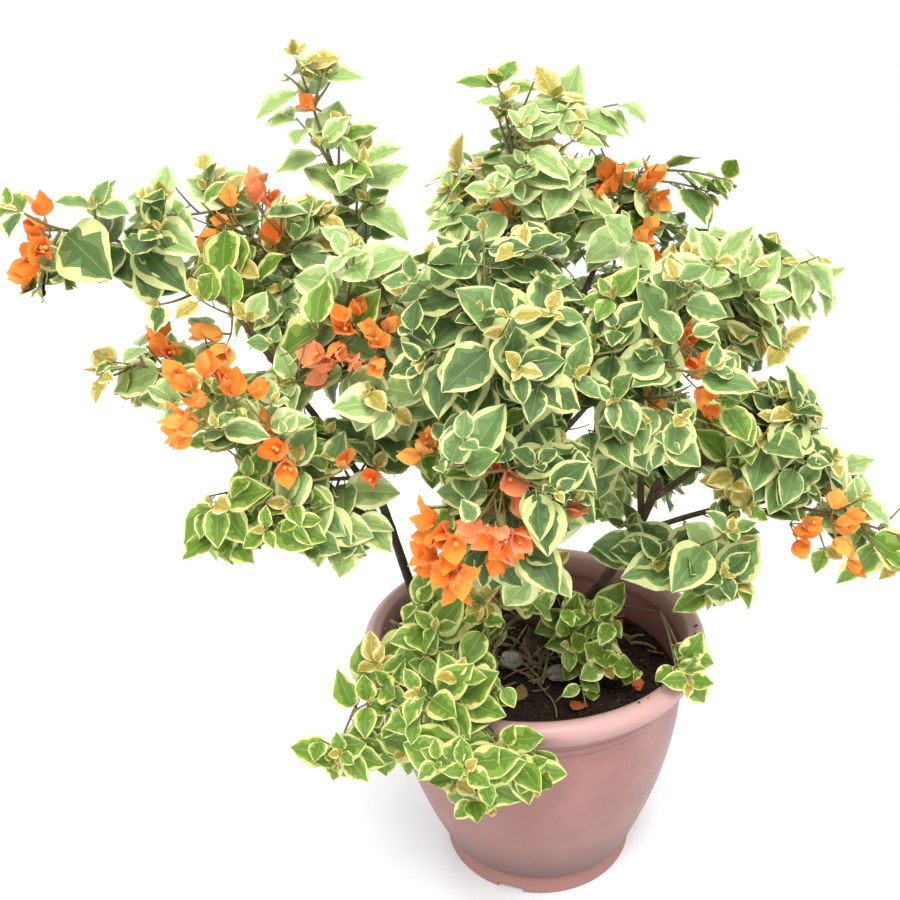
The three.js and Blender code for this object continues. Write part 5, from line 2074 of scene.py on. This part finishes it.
class Blossom:
    """The bracts and small flowers: each group of the plan opens as clusters of three bracts."""

    def __init__(self, foliage: Foliage) -> None:
        """Starts the piles."""
        self.foliage = foliage
        self.stream = np.random.default_rng(SEED.blossom)
        self.blade = Blade(rows=10, width=0.8, base=0.62, point=0.9, fold=0.22, curl=-0.26, wave=0.05,
                           veins=0.009)
        self.bracts = {name: MeshPile(f"bracts_{name}") for name in BRACT_COLOURS}
        self.tubes = MeshPile("tube_flowers")
        self.stalks = MeshPile("blossom_stalks")

    def add_cluster(self, hub: Array, axis: Array, size: float, name: str) -> None:
        """Adds three bracts round an axis, and their tube flowers.

        Args:
            hub: Where the bracts meet.
            axis: Where the cluster opens to.
            size: Length of a bract.
            name: Its colour.
        """
        side = unit(cross(axis, np.array((0.3, 0.8, 0.52))))
        here = Frame(hub, axis, side, cross(side, axis))
        roll = self.stream.uniform(0, math.tau)
        opening = self.stream.uniform(*BLOOM.openings)
        for number in range(3):
            turn = roll + number * math.tau / 3
            along = here.leaning(turn, opening + self.stream.uniform(*BLOOM.sway))
            face = axis - along * float(axis @ along)
            length = size * self.stream.uniform(*BLOOM.varied)
            place = LeafPlace(hub, along, unit(face), length)
            self.bracts[name].add_grid(self.blade.grid(place, self.blade.even(7), self.stream))
            if self.stream.random() < BLOOM.flower_share:
                self.add_tube_flower(hub + along * size * BLOOM.flower_foot, unit(along * 0.3 + axis))

    def add_tube_flower(self, foot: Array, axis: Array) -> None:
        """Adds a slim tube with a small open mouth."""
        length = self.stream.uniform(*BLOOM.flowers)
        shares = (0, 0.4, 0.8, 0.97, 1.0)
        run = Run(np.array([foot + axis * length * share for share in shares]))
        self.tubes.add_tube(run, (0.7, 1.0, 0.9, 1.7, 1.3), 10)

    def add_group(self, place: tuple[float, float, float], count: int) -> None:
        """Adds a group on its own stalk.

        Args:
            place: Where it opens.
            count: How many clusters it has.
        """
        spot = np.array(place, dtype=float)
        masses = self.foliage.masses
        stem = min(masses, key=lambda mass: float(np.linalg.norm(mass.stem.points - spot, axis=1).min())).stem
        start = stem.points[np.linalg.norm(stem.points - spot, axis=1).argmin()]
        away = unit(unit(spot - start) + unit(spot - CROWN_HEART) * BLOOM.heart_pull)
        hub = spot - away * BLOOM.stalk
        run = bowed(start, hub, (0, 0, -4), 6)
        self.stalks.add_tube(run, np.linspace(1.1, 0.7, 7), 6)
        chances = BRACT_CHANCES[bool(spot[2] < BLOOM.faded_below and spot[1] < BLOOM.faded_front)]
        name = list(BRACT_COLOURS)[int(self.stream.choice(len(BRACT_COLOURS), p=chances))]
        total = count + (count > 1)
        for number in range(total):
            spread, reach = (BLOOM.spread, BLOOM.other_feet) if number else (0.0, BLOOM.first_foot)
            here = replace(run.frame(1.0), point=hub, along=away)
            out = unit(here.leaning(number * GOLDEN_ANGLE, spread) + UP * BLOOM.rise)
            foot = hub + out * reach
            self.stalks.add_tube(Run(np.array((hub, (hub + foot) / 2, foot))), (0.8, 0.7, 0.7), 5)
            self.add_cluster(foot, out, self.stream.uniform(*BLOOM.bracts), name)

    def build(self) -> list[Piece]:
        """Makes every group and the joined pieces."""
        for place, count in BLOSSOM:
            self.add_group(place, count)
        pieces = [self.bracts[name].build(BractFinish(f"bract_{name}", colour).material(), "foliage")
                  for name, colour in BRACT_COLOURS.items()]
        pieces.append(self.tubes.build(LeafFinish("tube_flower", "#e8b45c").material(), "foliage"))
        pieces.append(self.stalks.build(TwigFinish("blossom_stalk", "#98853f").material(), "bark"))
        return pieces


class Wood:
    """The trunk, the stems and the boughs, as meshes with the bark's relief."""

    def __init__(self, limbs: dict[str, Limb]) -> None:
        """Keeps the limbs."""
        self.limbs = limbs

    def mesh(self, limb: Limb, seed: float) -> MeshPile:
        """Draws one limb.

        Args:
            limb: The limb.
            seed: Moves its noise.

        Returns:
            A pile with its tube.
        """
        length = float(np.linalg.norm(np.diff(limb.run.points, axis=0), axis=1).sum())
        rings = max(BARK.fewest_rings, int(length / BARK.ring_pitch))
        pile = MeshPile(f"{limb.row.name}_bark")
        points = []
        for ring in range(rings + 1):
            share = ring / rings
            here = limb.run.frame(share)
            radius = limb.radius(share) * self.end_round(share, rings)
            points.extend(self.ring(here, radius, share * length, seed))
        points = np.array(points)
        if not limb.row.parent:
            points[:, 2] = np.maximum(points[:, 2], SOIL.top - LIMB.foot_depth)
        pile.add(points, tube_faces(rings + 1, LIMB.sides))
        return pile

    @staticmethod
    def end_round(share: float, rings: int) -> float:
        """Rounds off the limb's last two rings."""
        left = (1 - share) * rings
        return 1.0 if left >= 2 else LIMB.tip_round + (1 - LIMB.tip_round) * left / 2

    @staticmethod
    def ring(here: Frame, radius: float, height: float, seed: float) -> list[Array]:
        """One ring of points, pushed in and out by ridges that run along the limb and by knots.

        Args:
            here: The limb's frame at the ring.
            radius: The ring's radius.
            height: How far along the limb it is.
            seed: Moves its noise.

        Returns:
            The points.
        """
        knot = BARK.knot * max(0.0, math.sin(height / BARK.knot_pitch + seed) ** BARK.knot_power)
        made = []
        for side in range(LIMB.sides):
            turn = math.tau * side / LIMB.sides
            around = Vector((*spun(BARK.ridge_turn, turn), height / BARK.ridge_length + seed))
            ridge = BARK.ridge * noise.noise(around) + BARK.fine * noise.noise(around * BARK.fine_scale)
            made.append(here.around(turn, radius * (1 + ridge + knot)))
        return made

    def build(self) -> None:
        """Makes a piece for each limb, which stands for the limb's solid."""
        bark = BarkFinish("young_bark", "#6f5b45").material()
        # The left stem's darker bark is painted shade: the stem is drawn as dark as it looks in shadow.
        dark = BarkFinish("shaded_stem_bark", "#4a3a2d", dark="#1d1510", pale="#6b5848").material()
        for number, limb in enumerate(self.limbs.values()):
            finish = dark if limb.row.name == "left_stem" else bark
            piece = self.mesh(limb, number * SEED.limb_step).build(finish, "bark")
            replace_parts(piece, limb.row.name)


class Pot:
    """The round moulded pot with its rolled lip, stepped ring, flared foot and drain slots."""

    def __init__(self, sizes: PotSizes) -> None:
        """Keeps the sizes."""
        self.sizes = sizes
        self.segments = 160

    def wall_point(self, rise: float, inset: float = 0.0) -> tuple[float, float]:
        """A point of the body's wall at a share of its height, set in from the outside."""
        s = self.sizes
        radius = lerp(s.body_foot_radius, s.shoulder_radius, 1 - (1 - rise) ** s.body_swell)
        return (radius - inset, lerp(s.body_bottom, s.ring_bottom, rise))

    def profile(self) -> list[tuple[float, float, float]]:
        """The pot's outline from the middle of its underside, with how far each corner is rounded."""
        s = self.sizes
        ring = s.shoulder_radius + s.ring_step
        outer = [
            (0, 0, 0), (s.foot_radius - s.edge / 2, 0, 1.2), (s.foot_radius, s.edge, 1.5),
            (s.foot_radius - s.crease_depth, s.foot_height, 2.0),
            *((*self.wall_point(rise), 3.0) for rise in np.linspace(0, 1, 15)),
            (ring, s.ring_bottom + s.edge, 0.6), (ring + 0.3, s.ring_middle - 0.6, 0.4),
            (ring + s.edge - 0.3, s.ring_middle + 0.6, 0.4), (ring + s.edge, s.lip_bottom - s.edge / 2, 0.6),
            (s.rim_radius - s.lip_taper, s.lip_bottom, 2.2), (s.rim_radius, s.height - 2.5 * s.rim_bead, 3.5),
            (s.rim_radius - s.edge, s.height - s.rim_bead, 3.0), (s.rim_crest, s.height, 4.0),
            (s.rim_crest - 2 * s.rim_bead, s.height - s.rim_bead, 3.5),
            (s.shoulder_radius, s.lip_bottom, 5.0),
        ]
        inner = [(*self.wall_point(rise, s.wall), 3.0) for rise in np.linspace(1, 0.1, 8)]
        return outer + inner + [(s.body_foot_radius - s.wall - s.crease_depth, s.floor_top, 2.0),
                                (0, s.floor_top, 0)]

    def rounded(self) -> Array:
        """The outline with each corner turned into a short curve."""
        corners = self.profile()
        made = [np.array(corners[0][:2])]
        for before, here, after in zip(corners, corners[1:], corners[2:]):
            p, a, b = (np.array(corner[:2], dtype=float) for corner in (here, before, after))
            to_a, to_b = a - p, b - p
            cut_a = min(here[2], 0.45 * float(np.hypot(*to_a)))
            cut_b = min(here[2], 0.45 * float(np.hypot(*to_b)))
            first = p + to_a / np.hypot(*to_a) * cut_a
            last = p + to_b / np.hypot(*to_b) * cut_b
            for share in np.linspace(0, 1, 5):
                made.append((1 - share) ** 2 * first + 2 * share * (1 - share) * p + share ** 2 * last)
        made.append(np.array(corners[-1][:2]))
        return np.array(made)

    def drain_cutter(self) -> Piece:
        """The slots under the foot, as one object to cut with."""
        s = self.sizes
        shape = bmesh.new()
        for number in range(s.drain_count):
            turn = s.drain_turn + number * math.tau / s.drain_count
            size = Matrix.Diagonal((s.drain_length * MM, s.drain_width * MM, 2 * s.drain_height * MM, 1))
            out = Matrix.Translation(((s.foot_radius + 8 - s.drain_length / 2) * MM, 0, 0))
            bmesh.ops.create_cube(shape, size=1.0, matrix=Matrix.Rotation(turn, 4, "Z") @ out @ size)
        mesh = bpy.data.meshes.new("drain_cutter")
        shape.to_mesh(mesh)
        shape.free()
        cutter = bpy.data.objects.new("drain_cutter", mesh)
        show(cutter)
        return cutter

    def build(self) -> Piece:
        """Turns the outline, cuts the slots and makes the piece that stands for the pot's solid."""
        outline = self.rounded()
        turns = np.linspace(0, math.tau, self.segments, endpoint=False)
        rings = np.array([[(*spun(r, t), z) for t in turns] for r, z in outline[1:-1]])
        count = len(rings)
        points = np.concatenate((rings.reshape(-1, 3), [(0, 0, outline[0][1]), (0, 0, outline[-1][1])]))
        faces = [[a, d, c, b] for a, b, c, d in ring_faces(count, self.segments)]
        under, floor = len(points) - 2, len(points) - 1
        top = (count - 1) * self.segments
        for number in range(self.segments):
            following = (number + 1) % self.segments
            faces.append([under, following, number])
            faces.append([floor, top + number, top + following])
        mesh = bpy.data.meshes.new("moulded_pot")
        mesh.from_pydata((points * MM).tolist(), [], faces)
        mesh.shade_smooth()
        finish = MouldedFinish("moulded_plastic", "#996861").material()
        piece = placed(mesh, finish, "pot", sum(len(face) - 2 for face in faces))
        self.cut(piece)
        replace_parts(piece, "pot")
        return piece

    def cut(self, piece: Piece) -> None:
        """Cuts the drain slots out of the turned pot."""
        cutter = self.drain_cutter()
        modifier = piece.modifiers.new("drains", "BOOLEAN")
        modifier.operation = "DIFFERENCE"
        modifier.solver = "EXACT"
        modifier.object = cutter
        graph = bpy.context.evaluated_depsgraph_get()
        mesh = bpy.data.meshes.new_from_object(piece.evaluated_get(graph))
        piece.modifiers.clear()
        piece.data = mesh
        mesh.name = "moulded_pot"
        bpy.data.objects.remove(cutter)
        mesh.set_sharp_from_angle(angle=math.radians(50))


class Soil:
    """The potting soil, its crumbs and chips, the two stones, dry stems and what has fallen."""

    def __init__(self, sizes: SoilSizes, pot: Pot) -> None:
        """Keeps the sizes and the pot that holds it."""
        self.sizes = sizes
        self.pot = pot
        self.stream = np.random.default_rng(SEED.soil)

    def edge(self) -> float:
        """How far the soil reaches from the middle."""
        s = POT
        rise = (self.sizes.top - s.body_bottom) / (s.ring_bottom - s.body_bottom)
        return self.pot.wall_point(rise, s.wall + self.sizes.clear)[0]

    def height(self, x: float, y: float) -> float:
        """The height of the soil at a place."""
        place = Vector((x, y, 0))
        rough = sum(noise.noise(place / width) * share for width, share in self.sizes.lumps)
        return self.sizes.top - self.sizes.sunk + self.sizes.roughness * rough

    def on(self, x: float, y: float, lift: float = 0.0) -> Array:
        """The point over a place of the soil, lifted above its surface."""
        return np.array((x, y, self.height(x, y) + lift))

    def surface(self) -> None:
        """Makes the soil's body: an uneven top, and sides that follow the pot's wall."""
        s = self.sizes
        edge = self.edge()
        pile = MeshPile("potting_soil")
        points = [tuple(self.on(0, 0))]
        turns = [math.tau * sector / s.sectors for sector in range(s.sectors)]
        for ring in range(1, s.rings + 1):
            radius = edge * ring / s.rings
            points += [tuple(self.on(*spun(radius, turn))) for turn in turns]
        for depth, inset in ((20, 3.0), (160, 38.0)):
            points += [(*spun(edge - inset, turn), s.top - depth) for turn in turns]
        faces = [[0, 1 + sector, 1 + (sector + 1) % s.sectors] for sector in range(s.sectors)]
        faces += ring_faces(s.rings + 2, s.sectors, 1)
        bottom = 1 + (s.rings + 1) * s.sectors
        faces.append([bottom + sector for sector in reversed(range(s.sectors))])
        pile.add(np.array(points), faces)
        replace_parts(pile.build(EarthFinish("potting_compost", "#2f2116").material(), "soil"), "soil")

    def scatter(self, reach: float) -> tuple[float, float]:
        """A random place on the soil."""
        radius = reach * math.sqrt(self.stream.random())
        return spun(radius, self.stream.uniform(0, math.tau))

    def lump(self, place: Array, size: Array) -> tuple[Array, list[list[int]]]:
        """A small angular lump of eight faces.

        Args:
            place: Its middle.
            size: Its half sizes.

        Returns:
            Its corners and its faces.
        """
        corners = np.array(((1, 0, 0), (-1, 0, 0), (0, 1, 0), (0, -1, 0), (0, 0, 1), (0, 0, -1)), dtype=float)
        corners = corners * self.stream.uniform(0.6, 1.15, (6, 1)) + self.stream.uniform(-0.25, 0.25, (6, 3))
        turn = self.stream.uniform(0, math.tau)
        turned = corners * size
        x = turned[:, 0] * math.cos(turn) - turned[:, 1] * math.sin(turn)
        y = turned[:, 0] * math.sin(turn) + turned[:, 1] * math.cos(turn)
        points = np.stack((x, y, turned[:, 2]), axis=1) + place
        faces = [[0, 2, 4], [2, 1, 4], [1, 3, 4], [3, 0, 4], [2, 0, 5], [1, 2, 5], [3, 1, 5], [0, 3, 5]]
        return points, faces

    def crumbs(self) -> None:
        """Scatters crumbs of soil, and a few on the rim, and pale chips of bark."""
        pile = MeshPile("soil_crumbs")
        for _ in range(self.sizes.crumbs):
            x, y = self.scatter(self.edge() - self.sizes.crumb_margin)
            size = self.stream.gamma(*self.sizes.crumb) + self.sizes.smallest
            place = self.on(x, y, size * self.sizes.crumb_lift)
            pile.add(*self.lump(place, np.full(3, min(size, self.sizes.largest))))
        for _ in range(self.sizes.rim_crumbs):
            turn = self.sizes.rim_turn + self.stream.normal(0, 0.5)
            radius = POT.rim_crest + self.stream.uniform(-3, 1)
            size = self.stream.uniform(*self.sizes.rim_sizes)
            place = np.array((*spun(radius, turn), POT.height + 0.2))
            pile.add(*self.lump(place, np.full(3, size)))
        pile.build(EarthFinish("compost_crumb", "#3a291b").material(), "soil")
        chips = MeshPile("bark_chips")
        for _ in range(self.sizes.chips):
            x, y = self.scatter(self.edge() - self.sizes.chip_margin)
            place = self.on(x, y, self.sizes.chip_lift)
            length = self.stream.uniform(*self.sizes.chip_lengths)
            width = self.stream.uniform(*self.sizes.chip_widths)
            chips.add(*self.lump(place, np.array((length, width, self.sizes.chip_height))))
        chips.build(BarkFinish("bark_chip", "#8a6a4c").material(), "soil")

    def stones(self) -> None:
        """Makes the two pale stones."""
        finish = PebbleFinish("pale_limestone", "#c6c7b6").material()
        for number, name in enumerate(("stone_left", "stone_right")):
            low, high = (np.array(corner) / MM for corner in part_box(name))
            middle, half = (low + high) / 2, (high - low) / 2
            shape = bmesh.new()
            bmesh.ops.create_icosphere(shape, subdivisions=5, radius=1.0)
            for vertex in shape.verts:
                rough = noise.noise(vertex.co * 1.7 + Vector((number * 7, 0, 0)))
                flat = noise.noise(vertex.co * 4.0 + Vector((0, number * 5, 0)))
                vertex.co *= 0.94 + 0.14 * rough + 0.05 * flat
                vertex.co = Vector(middle * MM) + Vector(tuple(vertex.co[k] * half[k] * MM for k in range(3)))
            mesh = bpy.data.meshes.new(f"{name}_worn")
            shape.to_mesh(mesh)
            shape.free()
            mesh.shade_smooth()
            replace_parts(placed(mesh, finish, "stone", len(mesh.polygons)), name)

    def dry_stems(self) -> None:
        """Lays dry stems on the soil: a tangle round the stones, and one forked twig on the right."""
        pile = MeshPile("dry_stems")
        for count, middle, spread, lengths, rise in (
                (self.sizes.tangle, (4, 6), (44, 36), (18, 58), 0.12),
                (self.sizes.uprights, (3, -6), (5, 16), (22, 46), 1.4)):
            for _ in range(count):
                x, y = self.stream.normal(middle, spread)
                self.add_dry(pile, (x, y), self.stream.uniform(*lengths), rise)
        fork = (((70, 62), (104, 30)), ((104, 30), (124, 8)), ((100, 34), (118, 34)))
        for (x0, y0), (x1, y1) in fork:
            run = bowed(self.on(x0, y0, 5.0), self.on(x1, y1, 12.0), (2, 3, 4), 8)
            pile.add_tube(run, np.linspace(2.0, 1.0, 9), 7)
        pile.build(BarkFinish("dry_stem", "#b09970", dark="#776144", pale="#cfbe98").material(), "bark")

    def add_dry(self, pile: MeshPile, foot: tuple[float, float], length: float, rise: float) -> None:
        """Adds one dry stem where it stays within the pot.

        Args:
            pile: Where it goes.
            foot: Where it leaves the soil.
            length: Its length.
            rise: How steeply it may stand.
        """
        turn = self.stream.uniform(0, math.tau)
        way = unit(np.array((*spun(1.0, turn), self.stream.uniform(0, rise) + 0.02)))
        start = self.on(*foot, 1.5)
        end = start + length * way
        if max(math.hypot(*end[:2]), math.hypot(*foot)) < self.edge() - self.sizes.stem_margin:
            run = bowed(start, end, self.stream.uniform(-9, 9, 3) + np.array((0, 0, 9)), 8)
            pile.add_tube(run, np.linspace(self.stream.uniform(1.0, 2.1), 0.6, 9), 6)

    def fallen(self) -> None:
        """Lays fallen bracts and dry leaves on the soil."""
        blade = Blade(rows=9, width=0.8, fold=0.3, curl=-0.25, wave=0.07)
        bracts = MeshPile("fallen_bracts")
        leaves = MeshPile("fallen_leaves")
        places = [(102, 71), (128, 18), (84, 60), (60, 20), (40, -60), (96, -30), (20, 70), (-40, 60),
                  (74, 96)]
        dry = [self.scatter(self.sizes.fallen_reach) for _ in range(self.sizes.fallen_leaves)]
        for number, (x, y) in enumerate(places + dry):
            turn = self.stream.uniform(0, math.tau)
            along = unit(np.array((*spun(1.0, turn), 0.08)))
            face = unit(UP - along * along[2])
            bract = number < len(places)
            length = self.stream.uniform(*(self.sizes.bract_lengths if bract else self.sizes.leaf_lengths))
            grid = blade.grid(LeafPlace(self.on(x, y, 2.5), along, face, length), blade.even(5), self.stream)
            if (np.hypot(grid[..., 0], grid[..., 1]) < self.edge() - self.sizes.fallen_margin).all():
                (bracts if bract else leaves).add_grid(grid)
        bracts.build(BractFinish("fallen_bract", "#d9692a").material(), "foliage")
        leaves.build(LeafFinish("dry_leaf", "#9a7a48").material(), "foliage")

    def build(self) -> None:
        """Makes the soil and everything on it."""
        self.surface()
        self.crumbs()
        self.stones()
        self.dry_stems()
        self.fallen()


# The studio

@dataclass(frozen=True)
class Studio:
    """A plain pale floor, soft light from all round, and the camera at the picture's angle."""

    sensor: float = 36.0
    floor_half: float = 40.0
    floor_colour: str = "#fbfcfd"
    floor_roughness: float = 0.9
    sky: str = "#fafcff"
    sky_strength: float = 1.08
    aim: tuple[float, float, float] = (0.0, 0.0, 0.42)

    def camera(self) -> None:
        """Puts the camera where the picture's lines place it."""
        right, up, forward = VIEW.axes()
        data = bpy.data.cameras.new("picture_camera")
        data.sensor_width = self.sensor
        data.lens = VIEW.focal * self.sensor / VIEW.width
        camera = bpy.data.objects.new("picture_camera", data)
        turn = Matrix((right.tolist(), up.tolist(), (-forward).tolist())).transposed().to_4x4()
        camera.matrix_world = Matrix.Translation(Vector(VIEW.place) * MM) @ turn
        show(camera)
        bpy.context.scene.camera = camera

    def floor(self) -> None:
        """Lays the floor."""
        half = self.floor_half
        mesh = bpy.data.meshes.new("floor")
        corners = [(-half, -half, 0), (half, -half, 0), (half, half, 0), (-half, half, 0)]
        mesh.from_pydata(corners, [], [(0, 1, 2, 3)])
        material = bpy.data.materials.new("pale_floor")
        material.use_nodes = True
        shader = material.node_tree.nodes["Principled BSDF"]
        shader.inputs["Base Color"].default_value = linear(self.floor_colour)
        shader.inputs["Roughness"].default_value = self.floor_roughness
        mesh.materials.append(material)
        floor = bpy.data.objects.new("floor", mesh)
        show(floor)

    def light(self, name: str, place: tuple[float, float, float], size: float, power: float) -> None:
        """Adds a soft square light that faces the crown.

        Args:
            name: Its name.
            place: Where it stands, in metres.
            size: Its side, in metres.
            power: Its power, in watts.
        """
        data = bpy.data.lights.new(name, "AREA")
        data.size = size
        data.energy = power
        lamp = bpy.data.objects.new(name, data)
        lamp.location = place
        aim = Vector(self.aim) - Vector(place)
        lamp.rotation_euler = aim.to_track_quat("-Z", "Y").to_euler()
        show(lamp)

    def build(self) -> None:
        """Makes the camera, the floor, the sky and the lights."""
        self.camera()
        self.floor()
        world = bpy.data.worlds.new("soft_sky")
        world.use_nodes = True
        background = world.node_tree.nodes["Background"]
        background.inputs["Color"].default_value = linear(self.sky)
        background.inputs["Strength"].default_value = self.sky_strength
        bpy.context.scene.world = world
        self.light("key_light", (0.1, -1.5, 2.55), 1.2, 50)
        self.light("fill_light", (-1.7, -1.2, 1.4), 1.8, 5)
        self.light("back_light", (-0.4, 1.9, 2.2), 1.6, 16)
        bpy.context.scene.view_settings.view_transform = "Standard"


def main() -> None:
    """Builds the camera and light, the pot and soil, the wood, the foliage and the blossom, in that order."""
    logging.basicConfig(level=logging.INFO, format="%(message)s")
    Studio().build()
    pot = Pot(POT)
    pot.build()
    Soil(SOIL, pot).build()
    limbs = grow_limbs()
    Wood(limbs).build()
    masses = [grow_mass(row, index, limbs) for index, row in enumerate(MASSES)]
    foliage = Foliage(limbs, masses)
    names = [row.name for row in MASSES]
    for piece in foliage.build():
        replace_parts(piece, *names)
    Blossom(foliage).build()


if __name__ == "__main__":
    main()
